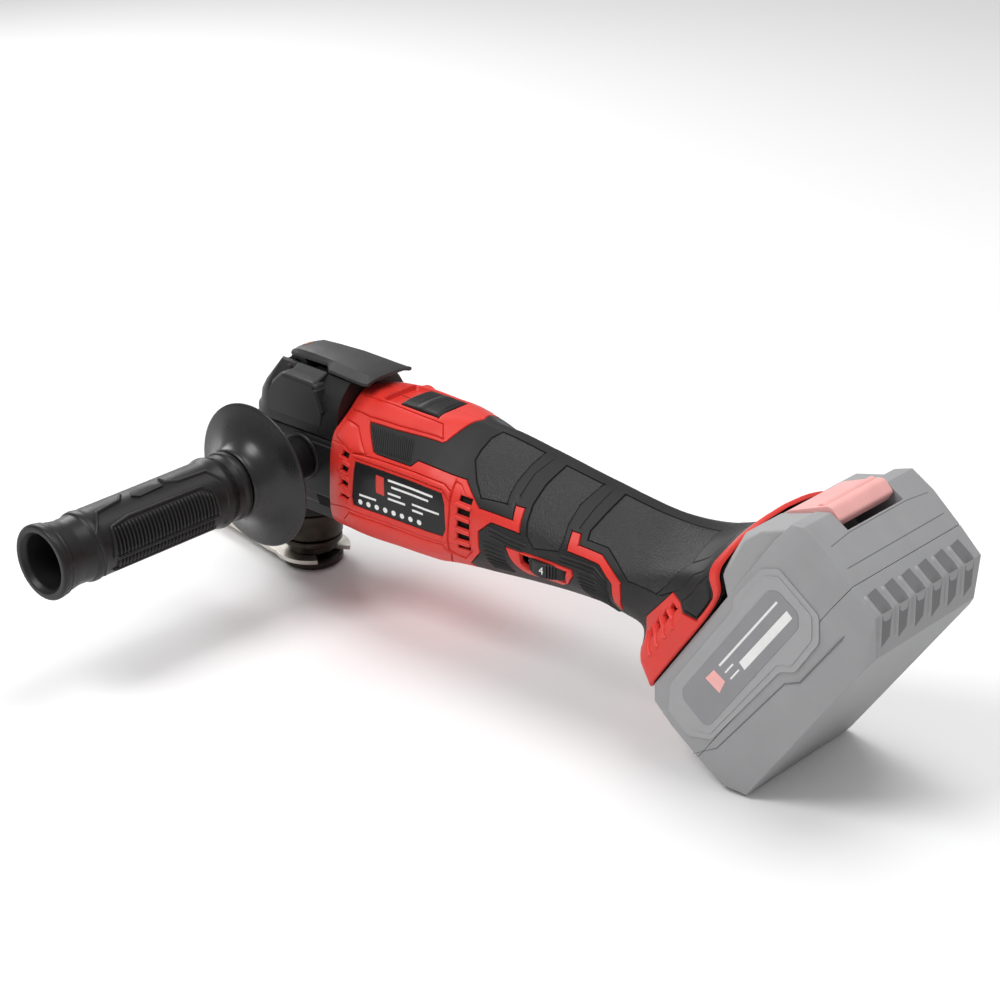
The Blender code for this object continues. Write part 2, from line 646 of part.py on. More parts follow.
def make_controls():
    # Half-width and level of the slider's lower edge, its side and its crown.
    half = [(9.1, 96.7), (9.1, 98.9), (5.5, 101.2)]
    section = half + [(-y, z) for y, z in reversed(half)]
    slider = loft("switch_slider", [[(x, y, z) for y, z in section] for x in SLIDER], BLACK)
    bevelled(slider, 0.4)
    stem = block("slider_stem", (84.0, -3.0, 88.5), (88.4, 3.0, 97.5))
    join(slider, stem)
    block("switch_rod", (88.8, -2.8, 88.5), (119.5, 2.8, 90.7), BLACK)
    block("microswitch", (120.4, -4.6, 81.0), (133.0, 4.6, 90.6), BLACK, bevel=0.4)
    half_dial = DIAL_HEIGHT / 2
    dial = rod("speed_dial", DIAL_RADIUS, -half_dial, half_dial, BLACK, None, DIAL_CENTRE, steps=32)
    join(dial, rod("dial_stem", 2.2, -5.4, 0, None, None, DIAL_CENTRE, steps=12))
    block("control_board", (136.0, -15.0, 52.0), (192.0, 15.0, 53.6), GREEN)
    block("terminal_block", (160.5, 156.0, -16.0), (169.8, 167.0, 16.0), BLACK, BATTERY_FRAME, 0.6)
    for name, y in (("contact_positive", 10.0), ("contact_negative", -10.0)):
        block(name, (170.1, 160.0, y - 0.6), (187.0, 168.6, y + 0.6), STEEL, BATTERY_FRAME)


def make_handle():
    frame = empty("handle_axis", (HANDLE_X, 0, HANDLE_Z), (math.pi / 2, 0, 0))
    face = HANDLE_FACE + 0.4
    turned("side_handle", [
        (4.4, face), (9.6, face), (9.6, 44.0), (10.4, 46.0), (10.4, 63.6), (15.2, 63.8), (15.0, 70.0),
        (13.9, 72.0), (15.0, 76.0), (15.9, 80.0), (15.9, 128.0), (14.2, 134.0), (13.9, 150.0),
        (14.6, 156.0), (15.2, 159.0), (16.1, 161.0), (16.1, HANDLE_END), (11.4, HANDLE_END),
        (11.0, 110.0), (4.4, 106.0),
    ][::-1], RUBBER, frame, steps=28)
    turned("hand_guard", [
        (11.0, 63.0), (15.6, 63.2), (17.0, 59.5), (20.0, 55.5), (25.0, 52.6), (31.9, 50.3),
        (GUARD_RADIUS, GUARD_RIM), (31.8, GUARD_RIM - 0.6), (24.0, 51.0), (18.0, 54.0), (14.5, 58.0),
        (11.0, 58.4),
    ], BLACK, frame, steps=32)
    rod("handle_stud", 4.1, 13.2, 90.0, STEEL, frame)


def battery_ring(level, half_width, front, rear, side_end, corner):
    """The battery's outline at one level: square at the front, with the rear corners cut away."""
    half = [
        (front, half_width - FRONT_CHAMFER),
        (front + FRONT_CHAMFER, half_width),
        (side_end, half_width),
        (rear, corner),
    ]
    mirrored = [(s, -y) for s, y in reversed(half)]
    return [(s, level, y) for s, y in half + mirrored]


def make_battery():
    frame = BATTERY_FRAME
    cover = loft("battery_cover", [
        battery_ring(BATTERY_TOP, 36.8, 157.0, 261.5, 252.0, 33.0),
        battery_ring(175.6, 37.8, 151.9, 266.6, 253.5, 35.0),
        battery_ring(187.0, BATTERY_HALF_WIDTH, 150.5, 267.3, 253.5, 34.8),
        battery_ring(202.7, BATTERY_HALF_WIDTH, 150.5, 265.6, 252.5, 34.8),
    ], PALE_GREY, frame)
    base = loft("battery_base", [
        battery_ring(203.0, BATTERY_HALF_WIDTH, 150.5, 265.6, 252.5, 34.8),
        battery_ring(216.5, 36.6, 150.5, 264.6, 250.0, 34.2),
        battery_ring(BATTERY_BOTTOM, 34.5, BATTERY_HEEL, 250.0, 244.0, 31.5),
    ], PALE_GREY, frame)
    # Along the slide: the head's top level and its half-width.
    head_rows = [
        (216.5, 171.0, 35.0), (224.5, 161.8, 34.6), (240.5, 159.4, 34.0), (249.0, 161.9, 33.4),
        (265.4, 174.0, 30.5),
    ]
    rings = []
    for s, top, wide in head_rows:
        half = [(s, HEAD_ROOT, wide), (s, top + 2.5, wide), (s, top, wide - 4.0)]
        rings.append(half + [(s, level, -y) for _, level, y in reversed(half)])
    head = loft("battery_head", rings, None, frame)
    tower = block("battery_tower", (171.5, 163.3, -19.8), (220.0, 176.0, 19.8), None, frame)
    lips = block("battery_lips", (171.5, 163.3, -24.0), (222.0, 166.9, 24.0), None, frame)
    cavity = block("battery_cavity", (154.5, 174.5, -34.0), (252.6, 222.5, 34.0), None, frame)
    button_room = block("latch_room", (243.0, 150.0, -17.6), (275.0, 184.6, 17.6), None, frame)
    slots = [
        block(f"terminal_slot_{i}", (165.0, 160.0, y - 1.4), (190.0, 169.5, y + 1.4), None, frame)
        for i, y in enumerate((-10.0, 10.0))
    ]
    vents = [
        block(f"rear_vent_{i}", (252.0, 210.0, y - 2.4), (270.0, 222.0, y + 2.4), None, frame)
        for i, y in enumerate((-20.0, -10.0, 0.0, 10.0, 20.0))
    ]
    join(cover, head, tower, lips)
    cut(cover, cavity, button_room, *slots)
    cut(base, cavity, *vents)
    for row_name, level in (("upper", 187.5), ("lower", 207.6)):
        for i in range(5):
            rod(f"cell_{row_name}_{i + 1}", CELL_RADIUS, -CELL_LENGTH / 2, CELL_LENGTH / 2, CELL_BLUE, frame,
                (165.2 + 19.3 * i, level, 0), (0, 0, 0), 16)
    block("battery_board", (166.0, 175.2, -20.0), (240.0, 176.8, 20.0), GREEN, frame)
    plate("battery_latch", [
        (243.6, 163.2), (245.5, 162.0), (252.0, 162.6), (266.8, 172.4), (266.8, 180.0), (262.0, 180.6),
        (262.0, 178.4), (250.0, 170.6), (243.6, 170.0),
    ], -17.0, 17.0, PALE_RED, frame)


BATTERY_FRAME = empty("battery_frame", (0, 0, 0))
BATTERY_FRAME.rotation_euler = Matrix(
    [[SLIDE[0], AWAY[0], 0], [0, 0, 1], [SLIDE[2], AWAY[2], 0]]
).to_euler()

make_housing()
make_head()
make_lever()
make_spindle()
make_motor()
make_controls()
make_handle()
make_battery()
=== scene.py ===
"""Looks of the cordless oscillating multi-tool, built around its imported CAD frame.

Lengths are in millimetres in the CAD's own frame, and MM turns them into metres when a mesh is made.
The body's form repeats the CAD's cages, and its colours are tiles of one smooth surface.
"""

import math
from collections import namedtuple

import bmesh
import bpy
import numpy as np
from mathutils import Matrix, Vector
from mathutils.geometry import delaunay_2d_cdt
from mathutils.kdtree import KDTree


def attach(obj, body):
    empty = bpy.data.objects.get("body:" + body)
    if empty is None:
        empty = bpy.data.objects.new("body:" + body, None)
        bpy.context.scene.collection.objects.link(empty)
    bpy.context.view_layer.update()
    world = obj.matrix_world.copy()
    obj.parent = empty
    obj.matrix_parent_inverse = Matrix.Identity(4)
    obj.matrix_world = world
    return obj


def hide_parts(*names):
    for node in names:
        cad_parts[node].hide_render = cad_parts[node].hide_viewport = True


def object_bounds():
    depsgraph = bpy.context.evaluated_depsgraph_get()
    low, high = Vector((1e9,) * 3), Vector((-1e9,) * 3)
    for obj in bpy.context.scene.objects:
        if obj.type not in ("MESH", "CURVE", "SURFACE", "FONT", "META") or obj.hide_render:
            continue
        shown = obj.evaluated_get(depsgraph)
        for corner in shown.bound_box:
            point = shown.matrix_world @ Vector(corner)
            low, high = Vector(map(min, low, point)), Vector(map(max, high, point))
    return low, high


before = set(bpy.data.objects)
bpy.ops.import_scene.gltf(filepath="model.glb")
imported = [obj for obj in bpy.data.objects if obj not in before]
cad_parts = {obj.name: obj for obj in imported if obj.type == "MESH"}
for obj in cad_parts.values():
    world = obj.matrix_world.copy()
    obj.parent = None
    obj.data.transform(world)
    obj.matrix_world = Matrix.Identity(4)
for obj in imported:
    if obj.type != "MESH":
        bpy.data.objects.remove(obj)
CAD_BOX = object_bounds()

MM = 0.001
BATTERY_ANGLE = math.radians(55.5)
SLIDE = np.array([math.cos(BATTERY_ANGLE), 0.0, math.sin(BATTERY_ANGLE)])
ACROSS = np.array([0.0, 1.0, 0.0])
AWAY = np.array([math.sin(BATTERY_ANGLE), 0.0, -math.cos(BATTERY_ANGLE)])
X_AXIS, Y_AXIS, Z_AXIS = (1, 0, 0), (0, 1, 0), (0, 0, 1)
SIDES = ((-1, "near"), (1, "far"))
HANDLE_AT = (20.0, 0.0, 64.6)
LEVER_PIVOT = (6.0, 0.0, 100.0)
DIAL_CENTRE = (166.5, -17.6, 59.3)


# ---------------------------------------------------------------- materials

def new_material(name):
    made = bpy.data.materials.new(name)
    made.use_nodes = True
    return made, made.node_tree, made.node_tree.nodes["Principled BSDF"]


def fill(tree, node, inputs):
    """Links the sockets among the values and sets the rest on the node."""
    for socket, value in inputs.items():
        if isinstance(value, bpy.types.NodeSocket):
            tree.links.new(value, node.inputs[socket])
        else:
            node.inputs[socket].default_value = value


def add(tree, kind, inputs=(), **settings):
    node = tree.nodes.new(kind)
    for key, value in settings.items():
        setattr(node, key, value)
    fill(tree, node, dict(inputs))
    return node


def noise(tree, size, detail=3.0, stretch=None):
    """A noise whose grains are about size millimetres across, fixed to the object."""
    place = add(tree, "ShaderNodeTexCoord").outputs["Object"]
    if stretch:
        place = add(tree, "ShaderNodeMapping", {"Vector": place, "Scale": stretch}).outputs["Vector"]
    node = add(tree, "ShaderNodeTexNoise", {"Vector": place, "Scale": 1 / (size * MM), "Detail": detail})
    return node.outputs["Fac"]


def spread(tree, value, low, high, start=0.3, end=0.7):
    node = add(tree, "ShaderNodeMapRange", {
        "Value": value, "From Min": start, "From Max": end, "To Min": low, "To Max": high,
    })
    return node.outputs["Result"]


def mixed(tree, factor, first, second):
    return add(tree, "ShaderNodeMix", {0: factor, 6: first, 7: second}, data_type="RGBA").outputs[2]


def total(tree, first, second):
    return add(tree, "ShaderNodeMath", {0: first, 1: second}, operation="ADD").outputs[0]


def bumps(tree, height, depth, strength=1.0):
    inputs = {"Height": height, "Distance": depth * MM, "Strength": strength}
    return add(tree, "ShaderNodeBump", inputs).outputs["Normal"]


def shade(colour, factor):
    return (*(min(1.0, c * factor) for c in colour), 1.0)


def moulded(name, colour, roughness, grain=0.35, depth=0.02, mottle=0.12, edge_highlight=0.5, coat=0.0, shine=0.3):
    """Moulded plastic or rubber: a fine grain, slow changes of tone, and paler edges that are a painted
    highlight.
    """
    made, tree, shader = new_material(name)
    fine = noise(tree, grain, 2.0)
    slow = noise(tree, 14.0, 4.0)
    tone = mixed(tree, spread(tree, slow, 0.0, 1.0), shade(colour, 1 - mottle), shade(colour, 1 + mottle))
    # Sharp outer edges turn paler: a painted highlight.
    edge = spread(tree, add(tree, "ShaderNodeNewGeometry").outputs["Pointiness"], 0.0, edge_highlight, 0.53, 0.62)
    highlight_colour = (*(c * 1.35 + 0.03 for c in colour), 1.0)
    rough = spread(tree, slow, roughness - 0.05, roughness + 0.05)
    fill(tree, shader, {
        "Base Color": mixed(tree, edge, tone, highlight_colour),
        "Roughness": total(tree, rough, spread(tree, fine, -0.04, 0.04)),
        "Normal": bumps(tree, fine, depth),
        "Specular IOR Level": shine, "Coat Weight": coat, "Coat Roughness": 0.25,
    })
    return made


def metal(name, colour, roughness, scratch=(1, 1, 1), depth=0.004, dirt=0.2):
    """Machined or blackened metal: faint directional marks and duller stains."""
    made, tree, shader = new_material(name)
    lines = noise(tree, 0.5, 4.0, scratch)
    stain = noise(tree, 6.0, 5.0)
    rough = spread(tree, lines, roughness - 0.06, roughness + 0.1)
    stained = spread(tree, stain, 0.0, 1.0)
    fill(tree, shader, {
        "Base Color": mixed(tree, stained, shade(colour, 1 - dirt), shade(colour, 1 + dirt / 2)),
        "Roughness": total(tree, rough, spread(tree, stain, -0.03, 0.08)),
        "Normal": bumps(tree, lines, depth, 0.8), "Metallic": 1.0,
    })
    return made


def windings(name, colour):
    """Copper wire laid in turns along the motor's axis, under varnish."""
    made, tree, shader = new_material(name)
    place = add(tree, "ShaderNodeTexCoord").outputs["Object"]
    wave = add(tree, "ShaderNodeTexWave", {"Vector": place, "Scale": 500.0, "Distortion": 1.5, "Detail": 2.0})
    turns = wave.outputs["Fac"]
    fill(tree, shader, {
        "Base Color": mixed(tree, turns, shade(colour, 0.55), shade(colour, 1.2)),
        "Roughness": spread(tree, noise(tree, 2.0), 0.25, 0.45),
        "Normal": bumps(tree, turns, 0.1), "Metallic": 0.8,
    })
    return made


RED = moulded("red_shell", (0.66, 0.03, 0.02), 0.42, 0.25, 0.008, 0.05, 0.4, 0.0, 0.4)
BLACK_SMOOTH = moulded("smooth_rubber", (0.0125, 0.012, 0.012), 0.5, 0.2, 0.008, 0.15, 0.35)
BLACK_GRAIN = moulded("grained_rubber", (0.0125, 0.0125, 0.013), 0.5, 0.8, 0.4, 0.12, 0.3, 0.0, 0.45)
# Near-black painted shade behind the shell, in the head's slot and in the blade's holes; also the blade's
# printed scale.
SHADE_AND_PRINT_BLACK = moulded("painted_shade_and_print", (0.01, 0.009, 0.009), 0.8, 0.5, 0.02, 0.1, 0.0)
HEAD_BLACK = moulded("head_black", (0.0125, 0.0115, 0.012), 0.42, 0.45, 0.03, 0.15, 0.35)
LEVER_BLACK = moulded("lever_black", (0.02, 0.0195, 0.0195), 0.45, 0.5, 0.07, 0.12, 0.4, 0.0, 0.45)
GUARD_BLACK = moulded("guard_black", (0.0115, 0.0105, 0.011), 0.3, 0.4, 0.002, 0.12, 0.4, 0.1, 0.4)
HANDLE_BLACK = moulded("handle_black", (0.012, 0.011, 0.0112), 0.38, 0.5, 0.012, 0.15, 0.45)
SWITCH_BLACK = moulded("switch_black", (0.011, 0.0105, 0.0105), 0.45, 0.3, 0.01, 0.1, 0.5)
LABEL_BLACK = moulded("label_black", (0.011, 0.011, 0.012), 0.35, 0.3, 0.002, 0.08, 0.2)
LABEL_WHITE = moulded("label_white", (0.78, 0.78, 0.77), 0.45, 0.3, 0.002, 0.03, 0.0)
LABEL_RED = moulded("label_red", (0.62, 0.05, 0.04), 0.4, 0.3, 0.002, 0.05, 0.0)
PALE_GREY = moulded("battery_grey", (0.305, 0.305, 0.312), 0.55, 0.35, 0.016, 0.04, 0.3)
GREY_GRAIN = moulded("battery_grained", (0.325, 0.325, 0.33), 0.6, 0.5, 0.07, 0.04, 0.3)
PANEL_GREY = moulded("battery_panel", (0.235, 0.235, 0.245), 0.5, 0.3, 0.01, 0.04, 0.2)
# Dark grey for the battery's seam lines, and painted shade for its rear slots.
SLOT_SHADE_AND_SEAM_GREY = moulded("battery_slot_shade_and_seam", (0.17, 0.17, 0.175), 0.7, 0.4, 0.02, 0.05, 0.0)
PALE_RED = moulded("latch_red", (0.8, 0.4, 0.38), 0.45, 0.6, 0.05, 0.05, 0.3)
DARK_STEEL = metal("blackened_steel", (0.045, 0.038, 0.032), 0.38, (1, 1, 6), 0.006, 0.35)
BRIGHT_STEEL = metal("bright_steel", (0.62, 0.58, 0.53), 0.3, (1, 8, 1), 0.004, 0.18)
BRASS = metal("insert_brass", (0.62, 0.42, 0.17), 0.32, (1, 1, 4), 0.004, 0.2)
COPPER = windings("winding_copper", (0.55, 0.2, 0.08))
GREEN = moulded("board_green", (0.02, 0.14, 0.05), 0.35, 0.6, 0.01, 0.2, 0.0, 0.3)
ARROW_BROWN = moulded("arrow_brown", (0.22, 0.075, 0.03), 0.45, 0.3, 0.004, 0.1, 0.2)
SLEEVE = moulded("cell_sleeve", (0.03, 0.16, 0.36), 0.35, 0.6, 0.004, 0.08, 0.1)

# A finish is a material with the body that its pieces ride on and their slot.
Finish = namedtuple("Finish", "look body slot")
RED_BODY = Finish(RED, "housing", "red_housing")
RUBBER = Finish(BLACK_SMOOTH, "housing", "black_rubber")
GRAINED = RUBBER._replace(look=BLACK_GRAIN)
SHADE_LINING = RED_BODY._replace(look=SHADE_AND_PRINT_BLACK)
LABEL_SEAT = Finish(LABEL_BLACK, "housing", "label_black")
HEAD = Finish(HEAD_BLACK, "housing", "head_plastic")
LEVER = Finish(LEVER_BLACK, "lever", "lever_plastic")
SLEEVE_STEEL = Finish(DARK_STEEL, "housing", "blackened_steel")
FLANGE_STEEL = SLEEVE_STEEL._replace(body="spindle")
CLAMP_STEEL = SLEEVE_STEEL._replace(body="clamp")
BLADE = Finish(BRIGHT_STEEL, "spindle", "bright_steel")
BLADE_PRINT_AND_SHADE = BLADE._replace(look=SHADE_AND_PRINT_BLACK)
HANDLE = Finish(HANDLE_BLACK, "handle", "black_rubber")
BATTERY = Finish(PALE_GREY, "battery", "battery_grey")
BATTERY_GRAINED = BATTERY._replace(look=GREY_GRAIN)
BATTERY_SLOT_SHADE_AND_SEAM = BATTERY._replace(look=SLOT_SHADE_AND_SEAM_GREY)
LATCH = Finish(PALE_RED, "latch", "latch_red")


# ---------------------------------------------------------------- making pieces

def piece(name, solid, finish, replaced=None, sharp=35.0, bevel=None):
    """A solid of (points in millimetres, faces), which rides on a CAD body. bevel is as for bevelled()."""
    points, faces = solid
    mesh = bpy.data.meshes.new(name)
    mesh.from_pydata((np.asarray(points, float) * MM).tolist(), [], [list(map(int, f)) for f in faces])
    obj = finished(name, mesh, finish, sharp)
    if replaced:
        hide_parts(replaced)
    if bevel:
        bevelled(obj, *bevel)


def finished(name, mesh, finish, sharp=35.0):
    mesh.materials.append(finish.look)
    bm = bmesh.new()
    bm.from_mesh(mesh)
    bmesh.ops.recalc_face_normals(bm, faces=bm.faces)
    bm.to_mesh(mesh)
    bm.free()
    mesh.shade_smooth()
    mesh.set_sharp_from_angle(angle=math.radians(sharp))
    obj = bpy.data.objects.new(name, mesh)
    bpy.context.scene.collection.objects.link(obj)
    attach(obj, finish.body)
    return obj


def bevelled(obj, width, segments=3, angle=30.0):
    modifier = obj.modifiers.new("edges", "BEVEL")
    modifier.width = width * MM
    modifier.segments = segments
    modifier.limit_method = "ANGLE"
    modifier.angle_limit = math.radians(angle)
    modifier.harden_normals = True


def merged(parts):
    """Several (points, faces) as one."""
    points, faces, count = [], [], 0
    for some, these in parts:
        points.append(np.asarray(some, float))
        faces += [[i + count for i in face] for face in these]
        count += len(some)
    return np.concatenate(points), faces


def box(low, high, axes=None):
    """A box between two corners, in an own set of axes where they are given."""
    (a, b, level), (c, d, top) = low, high
    return prism([(a, b), (c, b), (c, d), (a, d)], level, top, axes)


def soft_line(corners, radius, steps=5, closed=False):
    """A polyline with each corner rounded by a short curve."""
    corners = np.array(corners, float)
    count = len(corners)
    found = []
    for i in range(count):
        if not closed and i in (0, count - 1):
            found.append(corners[i])
            continue
        before, corner, after = corners[i - 1], corners[i], corners[(i + 1) % count]
        sides = [(other - corner, np.linalg.norm(other - corner)) for other in (before, after)]
        reach = min(radius, 0.48 * sides[0][1], 0.48 * sides[1][1])
        start, end = (corner + way / length * reach for way, length in sides)
        for t in np.linspace(0, 1, steps):
            found.append((1 - t) ** 2 * start + 2 * t * (1 - t) * corner + t**2 * end)
    return np.array(found)


def soft_ring(corners, radius, steps=4):
    return soft_line(corners, radius, steps, True)


def lathe(profile, origin=(0, 0, 0), axis=Z_AXIS, start=X_AXIS, steps=112, closed=True):
    """Points and faces of a profile (radius, height) turned about an axis. A closed profile is a ring."""
    profile = np.array(profile, float)
    axis = np.array(axis, float)
    first = np.array(start, float)
    second = np.cross(axis, first)
    points = []
    for angle in np.arange(steps) * 2 * math.pi / steps:
        out = math.cos(angle) * first + math.sin(angle) * second
        points.append(np.array(origin) + profile[:, :1] * out + profile[:, 1:] * axis)
    rows = len(profile)
    faces = []
    for i in range(steps):
        j = (i + 1) % steps
        for k in range(rows if closed else rows - 1):
            m = (k + 1) % rows
            faces.append((i * rows + k, j * rows + k, j * rows + m, i * rows + m))
    return np.concatenate(points), faces


def disc(profile, origin=(0, 0, 0), axis=Z_AXIS, start=X_AXIS, steps=112):
    """A turned solid whose profile begins and ends on the axis, with one point at each end."""
    points, faces = lathe(profile, origin, axis, start, steps, False)
    rows = len(profile)
    keep = {i * rows + end: end for i in range(steps) for end in (0, rows - 1)}
    clean = []
    for face in faces:
        face = [keep.get(v, v) for v in face]
        clean.append([v for n, v in enumerate(face) if v != face[n - 1]])
    used = sorted({v for face in clean for v in face})
    number = {v: n for n, v in enumerate(used)}
    return points[used], [[number[v] for v in face] for face in clean]


def loft(rings):
    """A closed solid through rings with the same number of points."""
    count = len(rings[0])
    points = np.concatenate([np.array(r, float) for r in rings])
    faces = []
    for k in range(len(rings) - 1):
        for i in range(count):
            j = (i + 1) % count
            faces.append((k * count + i, k * count + j, (k + 1) * count + j, (k + 1) * count + i))
    faces.append(tuple(range(count)))
    faces.append(tuple(reversed(range((len(rings) - 1) * count, len(rings) * count))))
    return points, faces


def carved(solid, cutter):
    """A solid with a second one taken out of it."""
    objects = []
    for points, faces in (solid, cutter):
        bm = bmesh.new()
        corners = [bm.verts.new(p) for p in np.asarray(points, float)]
        for face in faces:
            bm.faces.new([corners[i] for i in face])
        bmesh.ops.recalc_face_normals(bm, faces=bm.faces)
        mesh = bpy.data.meshes.new("carving")
        bm.to_mesh(mesh)
        bm.free()
        objects.append(bpy.data.objects.new("carving", mesh))
        bpy.context.scene.collection.objects.link(objects[-1])
    modifier = objects[0].modifiers.new("carve", "BOOLEAN")
    modifier.operation = "DIFFERENCE"
    modifier.solver = "EXACT"
    modifier.object = objects[1]
    mesh = objects[0].evaluated_get(bpy.context.evaluated_depsgraph_get()).to_mesh()
    found = np.array([v.co[:] for v in mesh.vertices]), [list(f.vertices) for f in mesh.polygons]
    for obj in objects:
        bpy.data.objects.remove(obj)
    return found


def prism(outline, low, high, axes=None):
    """A flat outline extruded between two levels, in an own set of axes where they are given."""
    points, faces = loft([[(x, y, level) for x, y in outline] for level in (low, high)])
    return (points if axes is None else points @ np.array(axes)), faces


def slab(top, base, faces):
    """A closed solid between two copies of a surface, with walls round its open edges."""
    count = len(top)
    edges = [(face[n - 1], face[n]) for face in faces for n in range(len(face))]
    known = set(edges)
    walls = [(a, b, b + count, a + count) for a, b in edges if (b, a) not in known]
    under = [[v + count for v in reversed(face)] for face in faces]
    return np.concatenate([top, base]), [*faces, *under, *walls]


def mirrored(x, half):
    """A ring at x from its half of (y, z). Points on the middle plane are taken once."""
    return [(x, y, z) for y, z in half] + [(x, -y, z) for y, z in reversed(half) if y > 1e-6]


# ---------------------------------------------------------------- tiles of a surface

# A tile with no finish is a hole.
Tile = namedtuple("Tile", "name outline height rounding finish")
FEW_SEGMENTS = 60
NEAREST = 6
DROP = 0.75
BOTTOM = -1.7
EDGE_OFFSETS = (0.07, 0.2, 0.4, 0.7)
OUTSIDE, UNOWNED = -2, -1


def spaced(line, step, closed=True):
    """Points along a polyline, at most a step apart."""
    line = np.array(line, float)
    ends = np.roll(line, -1, 0) if closed else line[1:]
    found = []
    for a, b in zip(line, ends):
        count = max(1, math.ceil(np.linalg.norm(b - a) / step))
        found.append(a + (b - a) * np.arange(count)[:, None] / count)
    if not closed:
        found.append(line[-1:])
    return np.concatenate(found)


def distance(points, starts, ends):
    """Distance of each point to the nearest segment. Only the nearest few are tried where there are many."""
    if not len(starts) or not len(points):
        return np.full(len(points), np.inf)
    if len(starts) > FEW_SEGMENTS:
        tree = KDTree(len(starts))
        for i, (x, y) in enumerate((starts + ends) / 2):
            tree.insert((x, y, 0), i)
        tree.balance()
        picks = np.array([[hit[1] for hit in tree.find_n((x, y, 0), NEAREST)] for x, y in points])
        starts, ends = starts[picks], ends[picks]
    span = ends - starts
    away = points[:, None] - starts
    t = np.clip((away * span).sum(-1) / np.maximum((span**2).sum(-1), 1e-12), 0, 1)
    return np.sqrt(((away - t[..., None] * span) ** 2).sum(-1).min(-1))


def inside(points, outline):
    x, y = points.T
    found = np.zeros(len(points), bool)
    outline = np.array(outline, float)
    for (ax, ay), (bx, by) in zip(outline, np.roll(outline, -1, 0)):
        if ay != by:
            found ^= ((ay > y) != (by > y)) & (x < ax + (y - ay) * (bx - ax) / (by - ay))
    return found


def rounded_step(away, radius):
    """0 on an edge, 1 from a radius away from it, along a quarter circle."""
    t = np.clip(away / radius, 0, 1)
    return np.sqrt(1 - (1 - t) ** 2)


def triangulated(points, edges):
    """Flat points and triangles of a chart that holds the edges."""
    flat, _, triangles, *_ = delaunay_2d_cdt([Vector(p) for p in points], edges, [], 0, 1e-4)
    return np.array([tuple(p) for p in flat]), np.array([t for t in triangles if len(t) == 3])


def chart_points(lines, domain, spacing):
    """Points and edges of a chart: its lines, rows of points beside them, and a lattice elsewhere."""
    fixed, edges = [], []
    first = 0
    for points, closed in lines:
        count = len(points)
        fixed.append(points)
        edges += [(first + i, first + (i + 1) % count) for i in range(count if closed else count - 1)]
        first += count
    fixed = np.concatenate(fixed)
    starts, ends = fixed[[a for a, _ in edges]], fixed[[b for _, b in edges]]
    along = ends - starts
    length = np.maximum(np.linalg.norm(along, axis=1), 1e-9)[:, None]
    normal = np.stack([-along[:, 1], along[:, 0]], 1) / length
    middle = (starts + ends) / 2
    free = []
    for offset in EDGE_OFFSETS:
        for side in (-offset, offset):
            some = middle + normal * side
            free.append(some[distance(some, starts, ends) > 0.85 * offset])
    low, high = np.min(domain, 0), np.max(domain, 0)
    columns, rows = (int(size / spacing) + 1 for size in high - low)
    row, column = np.mgrid[0:rows, 0:columns]
    lattice = np.stack([low[0] + (column + 0.5 * (row % 2)) * spacing, low[1] + row * spacing], -1)
    lattice = lattice.reshape(-1, 2)
    free.append(lattice[distance(lattice, starts, ends) > 0.55 * spacing])
    free = np.concatenate(free)
    return np.concatenate([fixed, free[inside(free, domain)]]), edges


def sides_between(triangles, owner):
    """The sides where two tiles meet, and those on the border of all of them."""
    sides = np.concatenate([triangles[:, pair] for pair in ([0, 1], [1, 2], [2, 0])])
    sides = np.sort(sides, axis=1)
    order = np.lexsort((sides[:, 1], sides[:, 0]))
    sides, owners = sides[order], np.tile(owner, 3)[order]
    outside = owners == OUTSIDE
    twin = (sides[1:] == sides[:-1]).all(1)
    joints = sides[:-1][twin & (owners[1:] != owners[:-1]) & ~outside[1:] & ~outside[:-1]]
    single = np.ones(len(sides), bool)
    single[1:] &= ~twin
    single[:-1] &= ~twin
    border = np.concatenate([sides[:-1][twin & (outside[1:] != outside[:-1])], sides[single & ~outside]])
    return joints, border


def tiled(lift, domain, tiles, grooves, spacing=1.5, step=0.7, rim=0.35):
    """Cuts a surface into tiles that meet in V-shaped joints. Later tiles lie over earlier ones.

    lift(points, heights) puts points of the flat chart on the surface. grooves are (line, half width,
    depth). Gives (points, faces) of a closed solid for each tile.
    """
    lines = [(spaced(domain, step), True)]
    lines += [(spaced(tile.outline, step), True) for tile in tiles]
    lines += [(spaced(line, step, False), False) for line, _, _ in grooves]
    flat, triangles = triangulated(*chart_points(lines, domain, spacing))
    centres = flat[triangles].mean(1)
    owner = np.full(len(triangles), UNOWNED)
    for i, tile in enumerate(tiles):
        owner[inside(centres, tile.outline)] = i
    owner[~inside(centres, domain)] = OUTSIDE
    joints, border = sides_between(triangles, owner)
    to_joint = distance(flat, flat[joints[:, 0]], flat[joints[:, 1]])
    to_border = distance(flat, flat[border[:, 0]], flat[border[:, 1]])
    sunk = -rim * (1 - rounded_step(to_border, 0.6))
    for line, half_width, depth in grooves:
        line = np.array(line, float)
        sunk -= depth * (1 - rounded_step(distance(flat, line[:-1], line[1:]), half_width))
    solids = {}
    for i, tile in enumerate(tiles):
        mine = triangles[owner == i]
        if tile.finish is None or not len(mine):
            continue
        used, index = np.unique(mine, return_inverse=True)
        step_up = rounded_step(to_joint[used], tile.rounding)
        heights = -DROP + (tile.height + DROP) * step_up + sunk[used]
        top = lift(flat[used], heights)
        base = lift(flat[used], np.minimum(heights - 0.6, BOTTOM))
        solids[tile.name] = slab(top, base, index.reshape(-1, 3).tolist())
    return solids


